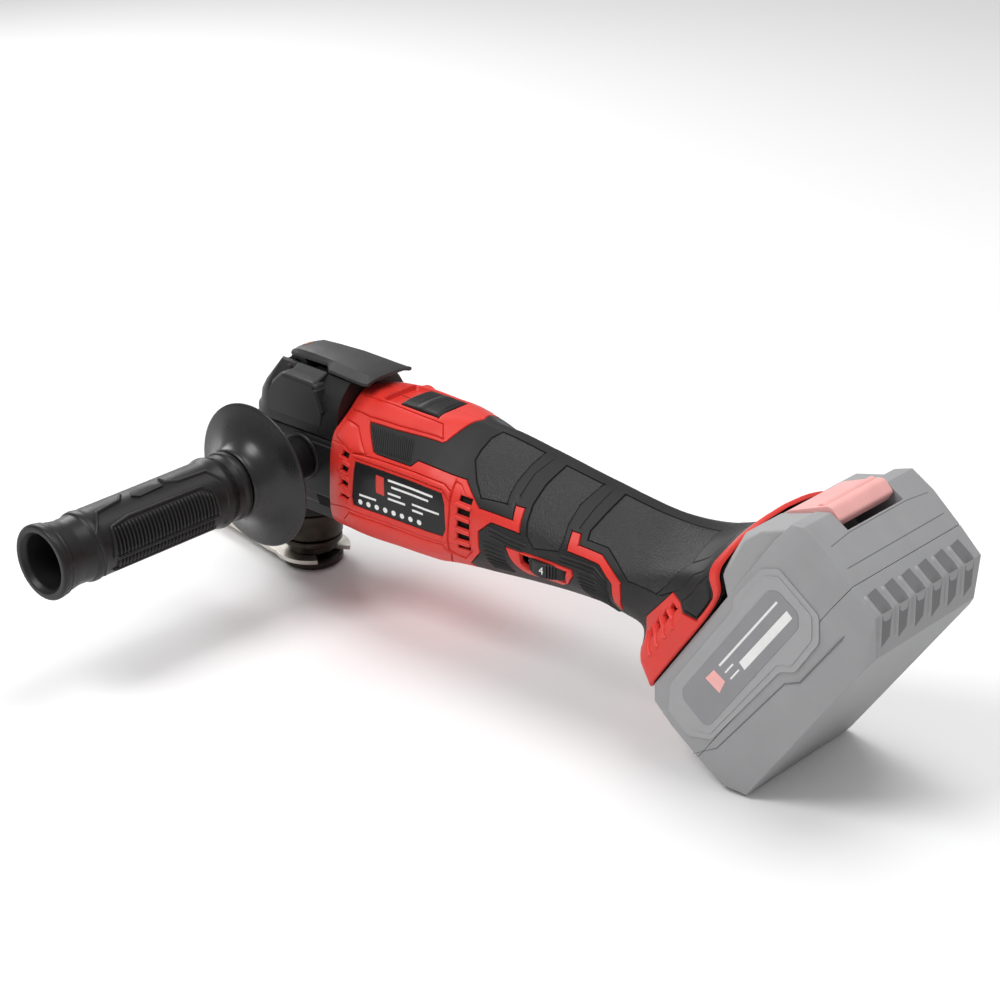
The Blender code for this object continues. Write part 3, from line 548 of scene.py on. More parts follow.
def pads(lift, outlines, low, high, step=1.2, spacing=2.0):
    """Thin plates that follow the surface, one for each outline, between two heights."""
    parts = []
    for outline in outlines:
        ring = spaced(outline, step)
        least, most = ring.min(0), ring.max(0)
        grid = np.stack(np.meshgrid(np.arange(least[0], most[0], spacing),
                                    np.arange(least[1], most[1], spacing)), -1).reshape(-1, 2)
        grid = grid[inside(grid, ring)]
        grid = grid[distance(grid, ring, np.roll(ring, -1, 0)) > 0.5]
        count = len(ring)
        edges = [(i, (i + 1) % count) for i in range(count)]
        flat, triangles = triangulated(np.concatenate([ring, grid]), edges)
        triangles = triangles[inside(flat[triangles].mean(1), ring)]
        top, base = (lift(flat, np.full(len(flat), level)) for level in (high, low))
        parts.append(slab(top, base, triangles.tolist()))
    return merged(parts)


def beads(lift, lines, half_width, height, base=-0.3, step=1.0):
    """Rounded ribs that follow the surface along lines of the chart, with ends that run out."""
    section = [(-1.0, 0.0), (-0.8, 0.55), (-0.4, 0.9), (0.0, 1.0), (0.4, 0.9), (0.8, 0.55), (1.0, 0.0)]
    parts = []
    for line in lines:
        path = spaced(line, step, False)
        along = np.gradient(path, axis=0)
        along /= np.linalg.norm(along, axis=1, keepdims=True)
        normal = np.stack([-along[:, 1], along[:, 0]], 1)
        fade = np.ones(len(path))
        fade[0] = fade[-1] = 0.35
        rings = [lift(path + normal * across * half_width * fade[:, None], base + (height - base) * up * fade)
                 for across, up in section]
        parts.append(loft(np.stack(rings, 1)))
    return merged(parts)


# ---------------------------------------------------------------- the body's form, as in the CAD

ROUNDING = 0.72
CORNER_POINTS = 7
STATIONS = [
    (43.0, 35.5, 97.2, 6.0, (15.0, 8.0), (26.0, 15.5), (28.5, 9.0), (20.0, 1.5)),
    (51.0, 36.0, 99.0, 8.0, (17.0, 7.0), (29.5, 17.5), (31.0, 11.0), (21.0, 1.2)),
    (60.0, 36.4, 99.7, 9.5, (18.0, 6.6), (31.5, 18.8), (32.2, 12.0), (22.0, 1.0)),
    (84.0, 37.8, 99.7, 9.6, (18.5, 6.4), (32.0, 19.6), (32.2, 12.0), (22.0, 1.0)),
    (98.0, 38.3, 99.7, 8.8, (18.0, 6.8), (31.8, 19.8), (32.0, 12.0), (21.5, 1.0)),
    (105.0, 38.6, 99.6, 6.2, (17.0, 7.0), (31.5, 20.0), (31.7, 12.0), (21.0, 1.0)),
    (113.0, 38.7, 99.4, 3.2, (14.5, 8.0), (30.5, 21.7), (31.0, 13.0), (19.0, 1.5)),
    (130.0, 38.8, 98.6, 2.4, (13.5, 8.2), (29.3, 23.8), (29.3, 15.0), (16.0, 2.0)),
    (150.0, 39.9, 96.0, 2.4, (13.0, 8.0), (28.4, 23.2), (28.2, 16.0), (14.0, 2.5)),
    (172.0, 41.4, 93.0, 2.4, (13.0, 8.0), (27.8, 21.6), (27.5, 16.0), (13.0, 2.5)),
    (192.0, 42.7, 90.4, 2.6, (13.0, 7.8), (27.8, 20.5), (27.6, 15.0), (14.0, 2.0)),
    (203.0, 43.0, 89.0, 3.0, (13.0, 7.8), (28.4, 19.5), (28.2, 14.0), (16.0, 1.5)),
]
SHOULDER = [
    (219.0, 0, 151.2), (218.2, 9, 151.4), (214.5, 21, 153.0), (210.5, 32, 156.5),
    (203.0, 36.6, 162.0), (161.5, 37.0, 162.0), (155.5, 31, 161.0), (155.5, 0, 161.0),
]
RIM = [
    (238.4, 0, 156.0), (237.6, 14, 156.4), (234.5, 27, 157.6), (222.5, 36.4, 160.4),
    (215.8, 37.8, 170.2), (157.5, 37.6, 170.2), (152.3, 31.5, 170.2), (152.3, 0, 170.2),
]
FLARE = [
    (26, 0, 9), (26, 0, 9), (22, 6, 10), (12, 12, 14), (0, 12, 20), (-6, 12, 20), (-8, 0, 20), (-8, 0, 20),
]
FLARE_PULL = 0.9
GRIP_END_SLOPE = -0.1
# The chart of half the body: along it, millimetres of x over the grip, then the flare and the band;
# round it, from 0 on the middle of the top to GIRTH on the middle of the bottom.
START, GRIP_END, FLARE_END, RIM_END = 43.0, 203.0, 259.0, 270.0
GIRTH = 110.0
GRIP_ROWS, FLARE_ROWS, BAND_ROWS, COLUMNS = 200, 56, 22, 220


def from_battery(points):
    """Turns (slide, sideways, away) into (x, y, z)."""
    points = np.array(points, float)
    return points[..., :1] * SLIDE + points[..., 1:2] * ACROSS + points[..., 2:] * AWAY


def station_cage(row):
    x, bottom, top, flat, shoulder, side_top, side_bottom, floor = row
    return np.array([
        (x, 0, top), (x, flat, top), (x, shoulder[0], top - shoulder[1]), (x, side_top[0], top - side_top[1]),
        (x, side_bottom[0], bottom + side_bottom[1]), (x, floor[0], bottom + floor[1]),
        (x, floor[0] * 0.45, bottom), (x, 0, bottom),
    ])


def hermite(start, end, out, into, t):
    return ((2 * t**3 - 3 * t**2 + 1) * start + (t**3 - 2 * t**2 + t) * out
            + (3 * t**2 - 2 * t**3) * end + (t**3 - t**2) * into)


def smooth_cages(cages, positions, samples):
    cages = np.array(cages)
    positions = np.array(positions, float)
    slopes = np.gradient(cages, positions, axis=0)
    found = []
    for at in samples:
        i = int(np.clip(np.searchsorted(positions, at) - 1, 0, len(positions) - 2))
        span = positions[i + 1] - positions[i]
        found.append(hermite(cages[i], cages[i + 1], slopes[i] * span, slopes[i + 1] * span,
                             (at - positions[i]) / span))
    return found


def ring_of(cage):
    """The rounded half ring of a cage, at even steps of its length."""
    points = [cage[0]]
    for before, corner, after in zip(cage, cage[1:], cage[2:]):
        start = corner + (before - corner) * ROUNDING / 2
        end = corner + (after - corner) * ROUNDING / 2
        for t in np.linspace(0, 1, CORNER_POINTS):
            points.append((1 - t) ** 2 * start + 2 * t * (1 - t) * corner + t**2 * end)
    points = np.array(points + [cage[-1]])
    along = np.r_[0, np.cumsum(np.linalg.norm(np.diff(points, axis=0), axis=1))]
    even = np.linspace(0, along[-1], COLUMNS)
    return np.stack([np.interp(even, along, points[:, k]) for k in range(3)], 1)


def body_form():
    """(positions, points, normals) of half the body, on a fine grid."""
    grip = np.linspace(START, GRIP_END, GRIP_ROWS)
    cages = smooth_cages([station_cage(row) for row in STATIONS], [row[0] for row in STATIONS], grip)
    last, shoulder, rim = cages[-1], from_battery(SHOULDER), from_battery(RIM)
    reach = np.linalg.norm(shoulder - last, axis=1, keepdims=True) * FLARE_PULL
    out = reach * np.array([1.0, 0.0, GRIP_END_SLOPE])
    into = from_battery(FLARE)
    into *= reach / np.linalg.norm(into, axis=1, keepdims=True)
    cages += [hermite(last, shoulder, out, into, t) for t in np.arange(1, FLARE_ROWS + 1) / FLARE_ROWS]
    cages += [shoulder + (rim - shoulder) * t for t in np.arange(1, BAND_ROWS + 1) / BAND_ROWS]
    places = np.concatenate([grip, np.linspace(GRIP_END, FLARE_END, FLARE_ROWS + 1)[1:],
                             np.linspace(FLARE_END, RIM_END, BAND_ROWS + 1)[1:]])
    points = np.array([ring_of(cage) for cage in cages])
    normals = np.cross(np.gradient(points, axis=1), np.gradient(points, axis=0))
    normals /= np.linalg.norm(normals, axis=2, keepdims=True)
    middle = (points[:, :1] + points[:, -1:]) / 2
    if ((points - middle) * normals).sum() < 0:
        normals = -normals
    normals[:, (0, -1), 1] = 0
    return places, points, normals


FORM = body_form()


def body_lift(side):
    """lift() of the body's near side (-1) or far side (1)."""
    places, points, normals = FORM
    mirror = np.array([1.0, side, 1.0])

    def lift(chart, heights):
        row = np.interp(chart[:, 0], places, np.arange(len(places)))
        column = np.clip(chart[:, 1] / GIRTH, 0, 1) * (COLUMNS - 1)
        i = np.minimum(row.astype(int), len(places) - 2)
        j = np.minimum(column.astype(int), COLUMNS - 2)
        a, b = (row - i)[:, None], (column - j)[:, None]
        found = [
            (grid[i, j] * (1 - a) + grid[i + 1, j] * a) * (1 - b)
            + (grid[i, j + 1] * (1 - a) + grid[i + 1, j + 1] * a) * b
            for grid in (points, normals)
        ]
        place = found[0] + found[1] * np.asarray(heights)[:, None]
        place[:, 1] = np.maximum(place[:, 1], 0.04)
        return place * mirror

    return lift


# Outlines on the body's chart.
SHELL = [
    (42, -1), (109.7, -1), (108.1, 4), (103.3, 19.6), (101.7, 21.1), (76.8, 23.1), (61.5, 23.4), (71.9, 35.7),
    (74.4, 36.6), (93.7, 36.6), (96.1, 33.0), (120.2, 32.6), (131.4, 44.0), (148.6, 43.7), (146.9, 35.9),
    (151.6, 35.4), (153.4, 48.8), (138.7, 48.8), (132.4, 55.8), (132.4, 67.8), (121.8, 82), (118, 111),
    (42, 111),
]
ARM = [
    (176.5, 36.7), (180.7, 36.2), (182.3, 42.4), (194.2, 41.7), (208, 51.2), (208.3, 60.0), (206, 73.5),
    (203, 66), (202.4, 53.8), (194.6, 47.4), (178.1, 48.0),
]
INLAY_FRONT = [
    (122.6, 3.6), (145.9, 4), (143.5, 14.6), (141.9, 26.1), (141.9, 30.6), (142.7, 36.9), (130.6, 38.9),
    (125, 32.1), (118.8, 22.1), (118.6, 16.1), (119.6, 8.5),
]
INLAY_MIDDLE = [
    (158, 5), (154.8, 19.1), (154, 32.1), (155.8, 43.2), (157.4, 48.9), (161.4, 54.2), (174.1, 50.2),
    (174.7, 43.2),
    (173.2, 34.2), (173.3, 21.6), (177.3, 5),
]
INLAY_REAR = [
    (188.5, 4.6), (183.7, 32.6), (184.7, 37.7), (195, 36.6), (212, 48.6), (229, 47.6), (245, 25.6),
    (243, 14.1),
    (242, 3.8), (216, 4.4),
]
FOOT_RED = [
    (241, 41.2), (252, 42.7), (267.2, 48.7), (268.2, 39), (265.2, 31), (264.0, 26), (266.5, 21), (267.4, 10),
    (267.4, -1), (271, -1), (271, 111), (240, 111), (246, 84), (241, 74), (228, 70), (226, 66),
]
DIAL_FRAME = [(146.7, 58.8), (181.3, 57.6), (182, 61), (177, 71), (171.5, 77.5), (154, 76.5), (149.5, 67)]
DIAL_WINDOW = [(154.4, 60.2), (178.3, 60.2), (175.6, 70.8), (156.8, 70.4), (154.4, 66)]
VENT_FRAME = [(116.2, 35.0), (119.4, 35.7), (128.6, 46.5), (128.6, 68), (121.5, 77), (115.4, 72), (117, 50.7)]
LABEL = [(63.1, 42.7), (112.0, 42.9), (114.3, 48), (115.0, 60), (113.2, 64.5), (61.8, 64.0), (61.0, 60)]
FRONT_FACET = [(45, 24), (57, 27), (68.5, 38.2), (60, 39.6), (46.5, 34)]
UPPER_FACET = [(45.5, 10.5), (60, 12.2), (97, 13.0), (101, 19.2), (77, 21.0), (60.5, 21.2), (46, 19)]
RAIL = [(60.5, 39.6), (74, 38.6), (112, 38.2), (118, 41.6), (116.6, 45), (112, 41.2), (62.5, 41.2)]
LOWER_PANEL = [(59, 68.5), (113, 69), (116, 74), (110, 86), (56, 83), (54, 74)]
FOOT_PANEL = [(253.5, 41.2), (266.6, 47.4), (267.4, 39.2), (264.6, 31.6), (260, 33)]
FRONT_SLOTS = [(39.4, 43.2), (46.0, 50.0), (53.2, 57.0), (60.2, 63.0)]
REAR_SLOTS = [(40.4, 44.0), (46.9, 50.9), (53.6, 57.6), (60.2, 64.0), (66.3, 69.6)]
CREST_SLOTS = [(45.2, 48.4), (51.0, 54.4), (57.0, 60.4), (63.0, 66.2)]


SWITCH_FLOOR = [(60.6, -1), (92.8, -1), (92.8, 10.8), (62.0, 10.8), (60.6, 10.1)]
DOMAIN = [(START, 0), (RIM_END, 0), (RIM_END, GIRTH), (START, GIRTH)]
# Lines, half widths and depths.
GROOVES = [
    ([(231, 47.6), (241, 41.0)], 0.5, 0.5),
    ([(245, 25.6), (256, 21.1), (259.5, 14.1), (256, 0.5)], 0.5, 0.5),
    ([(242, 41), (253, 30.4), (262.5, 27)], 0.6, 0.4),
    ([(151.2, 5), (147.4, 17), (146.6, 31)], 0.4, 0.3),
    ([(182.8, 5), (180, 20.6), (178.6, 34)], 0.4, 0.3),
    ([(43, 36), (60, 38.6)], 0.4, 0.3),
    ([(43.5, 69), (56, 66.5), (118, 67.5)], 0.5, 0.35),
]


def holes(name, outlines):
    return [Tile(f"{name}_{i}", outline, 0, 0.4, None) for i, outline in enumerate(outlines)]


def body_tiles(side):
    """The tiles of one side. The far side has no label and no dial, and has its screws instead."""
    tiles = [
        Tile("grip_band", DOMAIN, -0.1, 0.5, RUBBER),
        Tile("shell", SHELL, 0.0, 0.45, RED_BODY),
        Tile("upper_facet", UPPER_FACET, 0.25, 0.9, RED_BODY),
        Tile("front_facet", FRONT_FACET, 0.45, 1.2, RED_BODY),
        Tile("rail", RAIL, 0.55, 0.7, RED_BODY),
        Tile("lower_panel", LOWER_PANEL, 0.3, 0.9, RED_BODY),
        Tile("vent_frame", VENT_FRAME, -0.55, 0.5, RED_BODY),
        Tile("inlay_front", INLAY_FRONT, -0.3, 0.35, GRAINED),
        Tile("inlay_middle", INLAY_MIDDLE, -0.3, 0.35, GRAINED),
        Tile("inlay_rear", INLAY_REAR, -0.3, 0.35, GRAINED),
        Tile("arm", ARM, 0.2, 0.45, RED_BODY),
        Tile("foot_red", FOOT_RED, 0.1, 0.6, RED_BODY),
        Tile("foot_panel", FOOT_PANEL, 0.25, 0.7, RUBBER),
        Tile("switch_floor", SWITCH_FLOOR, -2.5, 0.5, RED_BODY),
    ]
    if side < 0:
        tiles += [
            Tile("label_seat", LABEL, -0.6, 0.4, LABEL_SEAT),
            Tile("dial_frame", DIAL_FRAME, 0.25, 0.5, RED_BODY),
            Tile("dial_window", DIAL_WINDOW, 0, 0.4, None),
        ]
    else:
        tiles.append(Tile("plain_panel", LABEL, -0.6, 0.4, RED_BODY))
    tiles += holes("intake",
                   [[(54.0, a), (59.0, a + 1.0), (58.4, b), (52.9, b - 0.8)] for a, b in FRONT_SLOTS])
    tiles += holes("vent",
                   [[(120.6, a), (127.2, a + 0.4), (127.2, b), (120.6, b - 0.4)] for a, b in REAR_SLOTS])
    return tiles + holes("crest_slot", [
        [(246.6 - 2.2 * i, a), (253.5 - 1.4 * i, a + 0.8), (254.0 - 1.4 * i, b), (247.6 - 2.2 * i, b - 0.6)]
        for i, (a, b) in enumerate(CREST_SLOTS)])


def make_body():
    for side, name in ((-1, "left"), (1, "right")):
        lift = body_lift(side)
        replaced = {"shell": f"housing_{name}", "grip_band": f"grip_{name}"}
        tiles = body_tiles(side)
        solids = tiled(lift, DOMAIN, tiles, GROOVES)
        for tile in tiles:
            if tile.name in solids:
                piece(f"{tile.name}_{name}", solids[tile.name], tile.finish, replaced.get(tile.name), 50.0)
        # A dark wall of painted shade behind the tiles.
        piece(f"shell_lining_{name}", painted_shade_wall(lift, DIAL_WINDOW if side < 0 else None), SHADE_LINING, sharp=50.0)
        make_ribs(lift, name)
    make_label(body_lift(-1))
    make_screws()


def painted_shade_wall(lift, window):
    """A dark wall behind the tiles, painted shade for the inside seen through the holes, with an opening
    behind the window.
    """
    rows, columns = 90, 60
    chart = np.stack(np.meshgrid(np.linspace(START, RIM_END, rows), np.linspace(0, GIRTH, columns),
                                 indexing="ij"), -1).reshape(-1, 2)
    open_points = inside(chart, window) if window else np.zeros(len(chart), bool)
    corners = [i * columns + j for i in range(rows - 1) for j in range(columns - 1)]
    quads = [[c, c + columns, c + columns + 1, c + 1] for c in corners]
    quads = [quad for quad in quads if not open_points[quad].any()]
    outer, inner = (lift(chart, np.full(len(chart), level)) for level in (-2.6, -3.4))
    return slab(outer, inner, quads)


def make_ribs(lift, name):
    fine = [[(63.8 + 1.2 * i, 24.9 - 0.05 * i), (73.2 + 0.97 * i, 35.3)] for i in range(21)]
    grip = [[(136.5 + 0.8 * i, 51.5 + 2.4 * i), (147, 53.0 + 2.4 * i), (158.5 - 1.5 * i, 53.6 + 2.4 * i)]
            for i in range(3)]
    grip += [[(134.6, 60.5 + 2.6 * i), (146.0, 61.4 + 2.6 * i)] for i in range(8)]
    grip += [[(175.5 - 1.2 * i, 51.6 + 2.3 * i), (193, 49.8 + 2.3 * i),
              (200.0, 54.5 + 2.3 * i)] for i in range(3)]
    grip += [[(184.0, 58.6 + 2.5 * i), (194, 57.6 + 2.5 * i),
              (200.8 - 0.2 * i, 61.6 + 2.5 * i)] for i in range(10)]
    bars = [[(119.0, 45.4 + 6.5 * i), (121.5, 45.5 + 6.5 * i), (127.6, 46.2 + 6.5 * i)] for i in range(4)]
    bars += [[(55.0 - 0.5 * i, 44.7 + 7 * i), (60.4 - 0.3 * i, 45.6 + 7 * i)] for i in range(3)]
    flow = [[(246.4 - 2.2 * i, 49.6 + 6 * i), (254.6 - 1.2 * i, 50.6 + 6 * i), (261, 54.8 + 5.2 * i)]
            for i in range(4)]
    piece(f"fine_ribs_{name}", beads(lift, fine, 0.38, 0.42), RUBBER)
    piece(f"grip_ribs_{name}", beads(lift, grip, 0.72, 0.55), RUBBER)
    piece(f"vent_bars_{name}", beads(lift, bars, 1.1, 0.45), RED_BODY)
    piece(f"crest_ribs_{name}", beads(lift, flow, 0.9, 0.9), RED_BODY)


def arc(radius, first, last, count, centre=(0, 0)):
    angles = np.radians(np.linspace(first, last, count))
    return [(centre[0] + radius * math.cos(a), centre[1] + radius * math.sin(a)) for a in angles]


def make_label(lift):
    """The label's generic print: plain bars and plain dots that stand for its text and signs."""
    rows = [
        (83, 108, 46.2), (85, 106, 49.0), (83, 90.5, 52.4), (83, 93, 55.0), (97, 111.5, 53.6),
        (97, 103, 56.4),
        (66, 76, 57.8),
    ]
    marks = [[(start, level - 0.5), (end, level - 0.5), (end, level + 0.5), (start, level + 0.5)]
             for start, end, level in rows]
    marks += [arc(1.25, 0, 342, 20, (66.5 + 4.9 * i, 61.2)) for i in range(8)]
    piece("label_print", pads(lift, marks, -0.62, -0.54, 0.5), LABEL_SEAT._replace(look=LABEL_WHITE),
          "rating_plate")
    tile = [(76, 45.6), (80.6, 45.8), (80.9, 54.4), (76.2, 54.0)]
    piece("label_tile", pads(lift, [tile], -0.62, -0.52, 0.5), LABEL_SEAT._replace(look=LABEL_RED))


SCREWS = {
    "front_low": (54.5, 46.0, RED_BODY), "front_high": (54.0, 87.0, RED_BODY),
    "middle_low": (112.5, 47.5, RED_BODY), "grip": (143.0, 69.0, RUBBER), "rear": (208.0, 62.0, RUBBER),
}


def make_screws():
    """Screw heads with a hex socket, in raised collars on the far side."""
    _, points, _ = FORM
    collar = soft_ring([(4.1, -2.4), (4.1, 0.9), (5.6, 0.7), (6.0, -2.4)], 0.5)
    head = soft_ring([(1.9, -1.9), (1.9, 0.0), (3.5, 0.0), (3.8, -0.8), (3.8, -3.2), (1.9, -3.2)], 0.3)
    socket = [(0, -2.0), (2.2, -2.0), (2.2, -3.0), (0, -3.0)]
    for name, (x, z, finish) in SCREWS.items():
        gap = np.hypot(points[..., 0] - x, points[..., 2] - z)
        near = gap < gap.min() + 3
        y = points[..., 1][near][np.argmin(gap[near])]
        seat = (x, y - 0.8, z)
        parts = [lathe(head, seat, Y_AXIS, X_AXIS, 64), disc(socket, seat, Y_AXIS, X_AXIS, 6)]
        piece(f"housing_screw_{name}_collar", lathe(collar, (x, y, z), Y_AXIS, X_AXIS, 64), finish)
        piece(f"housing_screw_{name}_head", merged(parts), SLEEVE_STEEL, f"housing_screw_{name}")


# ---------------------------------------------------------------- head, lever and spindle

def head_ring(z, front, width, rear=42.6, count=33):
    angles = np.linspace(-math.pi / 2, math.pi / 2, count)
    nose = [(-front * math.cos(a), width * math.sin(a), z) for a in angles]
    return [(rear, -width, z), *nose, (rear, width, z)]


# Flat plates on the head's sides: outline in x and z, two distances from the middle plane, finish and bevel.
HEAD_PLATES = {
    "side_panel": ([(-3.0, 79.0), (33.5, 79.0), (35.5, 88), (33.0, 93.5), (29.0, 100.5), (8.0, 101.0),
                    (0.5, 94.5),
                    (-4.0, 86)], 12, 21.4, HEAD, (2.2, 1)),
    "ridge": ([(28.0, 97.5), (31.0, 98.0), (34.6, 88.2), (32.4, 87.6)], 12, 22.2, HEAD, (0.6,)),
    "lower_step": ([(3, 56), (14, 49), (40, 49), (42.4, 56), (42.4, 73.5), (5.5, 73.5)], 14, 22.1, HEAD,
                   (0.8,)),
    # The slot is a dark plate: painted shade for its recess.
    "slot": ([(28, 48.3), (39.6, 48.0), (39.2, 44.0), (29.7, 44.0)], 20.0, 21.75,
             HEAD._replace(look=SHADE_AND_PRINT_BLACK),
             (0.3,)),
}


def make_head():
    # level, reach to the front, half width
    lower = [(43.5, 20.6, 20.6), (45.0, 21.5, 21.5), (60, 21.5, 21.5), (61, 21.2, 21.5), (74.6, 21.2, 21.5),
             (75.7, 20.6, 21.0)]
    upper = [(76.3, 19.8, 20.9), (77.2, 20.4, 21.5), (79.0, 20.0, 21.5), (80.5, 17.8, 21.2),
             (87.0, 16.0, 21.0),
             (92.0, 12.0, 20.0), (97.0, 7.4, 17.0), (102.0, 4.0, 12.2)]
    case, cover = (loft([head_ring(*row) for row in rows]) for rows in (lower, upper))
    piece("gear_case_body", case, HEAD, "gear_case", bevel=(0.5,))
    collar = soft_ring([(11, 44), (20.6, 44), (20.4, 37.5), (15.9, 30.2), (15.6, 27.9), (11, 27.9)], 1.2, 5)
    piece("gear_case_collar", lathe(collar, steps=128), HEAD)
    piece("gear_case_ledge", box((0, -17.5, 36), (42.6, 17.5, 44)), HEAD, bevel=(1.2,))
    cam_room = disc([(0, -9.7), (12.4, -9.7), (12.4, 9.7), (0, 9.7)], LEVER_PIVOT, Y_AXIS, X_AXIS, 64)
    piece("head_cover_body", carved(cover, cam_room), HEAD, "head_cover", 24.0, (0.7, 3, 24))
    boss = soft_ring([(6.6, 13.5), (11.0, 13.5), (11.0, 22.3), (10.2, 23.1), (7.4, 23.1), (6.6, 22.4)], 0.4)
    for side, name in SIDES:
        for part, (outline, inner, outer, finish, bevel) in HEAD_PLATES.items():
            plate = prism(outline, inner, outer, [X_AXIS, Z_AXIS, (0, side, 0)])
            piece(f"head_{part}_{name}", plate, finish, bevel=bevel)
        # half-width of the foot, then front, rear, half-width and level of the top
        brow = [[(8.5, side * y, 93.0), (29.5, side * y, 93.0), (rear, side * y_top, top),
                 (front, side * y_top, top)]
                for y, front, rear, y_top,
                top in ((21.0, 10.5, 27.5, 19.4, 99.4), (12.0, 10.0, 28.5, 12.0, 103.2))]
        piece(f"head_brow_{name}", loft(brow), HEAD, bevel=(0.7,))
        piece(f"handle_boss_{name}", lathe(boss, HANDLE_AT, (0, side, 0), X_AXIS, 96), HEAD)
    piece("head_front_rib", box((-18.0, -0.9, 46), (-15.4, 0.9, 72)), HEAD, bevel=(0.5,))


def make_lever():
    # x, crown level, edge level, level underneath, half-width of the top, half-width and foot of the skirt
    rows = [
        (-1.0, 104.2, 103.9, 103.2, 4.2, 5.4, 102.9), (1.0, 105.8, 105.3, 103.7, 6.0, 8.2, 103.1),
        (6.0, 107.4, 106.9, 104.5, 7.2, 9.0, 103.4), (16.0, 107.8, 107.3, 104.8, 7.8, 9.5, 103.9),
        (26.0, 107.9, 107.4, 105.0, 8.3, 10.0, 104.2), (30.0, 107.9, 107.4, 105.0, 8.6, 13.2, 103.2),
        (41.0, 107.4, 106.9, 104.6, 9.0, 13.6, 102.9), (51.0, 106.7, 106.2, 104.0, 9.2, 13.8, 102.6),
        (54.2, 105.9, 105.4, 104.2, 9.2, 13.6, 103.0),
    ]
    rings = [mirrored(x, [
        (0, crown), (flat * 0.6, crown - 0.1), (flat, edge), (skirt - 0.3, low + 1.6), (skirt, low + 0.5),
        (skirt - 0.6, low), (skirt - 1.6, low + 0.1), (flat - 0.6, under), (0, under + 0.1),
    ]) for x, crown, edge, under, flat, skirt, low in rows]
    piece("clamp_lever_body", loft(rings), LEVER, "clamp_lever", 25, (0.45, 3, 20))
    cam = soft_ring([(2.1, -8.6), (2.1, 8.6), (5.4, 8.6), (5.4, -8.6)], 0.5)
    piece("lever_cam", lathe(cam, LEVER_PIVOT, Y_AXIS, X_AXIS, 72), LEVER)
    arrow = [(-0.6, -2.6), (2.0, -2.6), (2.0, -4.2), (4.6, 0), (2.0, 4.2), (2.0, 2.6), (-0.6, 2.6)]
    points, faces = prism([(2.4 + x * 0.8, y * 0.8) for x, y in arrow], -0.5, 0.35)
    points[:, 2] += np.interp(points[:, 0], [1.0, 6.0], [105.6, 107.2])
    piece("lever_arrow", (points, faces), LEVER._replace(look=ARROW_BROWN))


def make_spindle():
    plate = [(0, 4.6), (12.4, 4.6), (14.0, 3.5), (14.0, 1.2), (12.7, 0.0), (7.2, 0.0), (6.6, 1.0), (0, 1.0)]
    socket = soft_ring([(2.6, 0.25), (2.6, 2.2), (5.2, 2.2), (5.2, 0.25)], 0.3)
    flange = soft_ring([(6.3, 13.9), (13.4, 13.9), (13.9, 13.3), (13.9, 11.2), (12.9, 10.6), (11.5, 10.2),
                        (11.4, 7.2), (6.3, 7.2)], 0.35)
    sleeve = soft_ring([(11.3, 27.3), (13.7, 27.3), (14.3, 26.6), (14.3, 15.3), (13.6, 14.5), (11.3, 14.5)],
                       0.25)
    piece("clamp_disc_body", disc(soft_line(plate, 0.5)), CLAMP_STEEL, "clamp_disc")
    piece("clamp_disc_socket", lathe(socket, steps=6), CLAMP_STEEL)
    piece("tool_flange_body", lathe(flange), FLANGE_STEEL, "tool_flange")
    points, faces = box((9.6, -0.8, 6.95), (11.2, 0.8, 7.6))
    turns = [np.array(Matrix.Rotation(i * math.pi / 6, 3, "Z")) for i in range(12)]
    piece("flange_pegs", merged([(points @ turn.T, faces) for turn in turns]), FLANGE_STEEL, bevel=(0.15, 2))
    piece("neck_sleeve_body", lathe(sleeve), SLEEVE_STEEL, "neck_sleeve")
    make_blade()


def make_blade():
    """A plunge blade with an open mouth, a toothed end, dark discs of painted shade for its small holes, and
    a short scale.
    """
    radius, half_mouth, teeth, half_end = 17.3, 4.6, 14, 8.0
    shoulder = [(-15.5, -14.6), (-23.0, -13.2), (-41.0, -10.0), (-52.0, -half_end), (-78.0, -half_end)]
    outline = arc(radius, -36, -118, 40) + shoulder
    for i in range(teeth):
        y = half_end * (2 * i + 1 - teeth) / teeth
        outline.append((-80.0, y))
        if i < teeth - 1:
            outline.append((-78.6, y + half_end / teeth))
    outline += [(x, -y) for x, y in reversed(shoulder)] + arc(radius, 118, 36, 40)
    outline += [(6.0, half_mouth)] + arc(half_mouth, 90, 270, 24) + [(6.0, -half_mouth)]
    piece("saw_blade_body", prism(outline, 4.95, 6.9), BLADE, "saw_blade", bevel=(0.25, 2))
    # The holes are dark discs: painted shade.
    hole = soft_line([(0, 6.98), (1.3, 6.98), (1.3, 4.87), (0, 4.87)], 0.1, 3)
    places = [(-20.0, 7.0), (-20.0, -7.0), (-30.0, 0.0), (-46.0, 0.0)]
    piece("blade_holes", merged([disc(hole, (x, y, 0), steps=32) for x, y in places]), BLADE_PRINT_AND_SHADE)
    marks = [box((-76 + 4 * i, -7.4, 6.86), (-75.6 + 4 * i, -4.6 if i % 5 else -3.0, 6.96)) for i in range(8)]
    piece("blade_rule", merged(marks), BLADE_PRINT_AND_SHADE)


# ---------------------------------------------------------------- side handle

BARREL = 15.0
RIB_COUNT = 28
RIB_PITCH = 1.85
RIB_START = 85.5


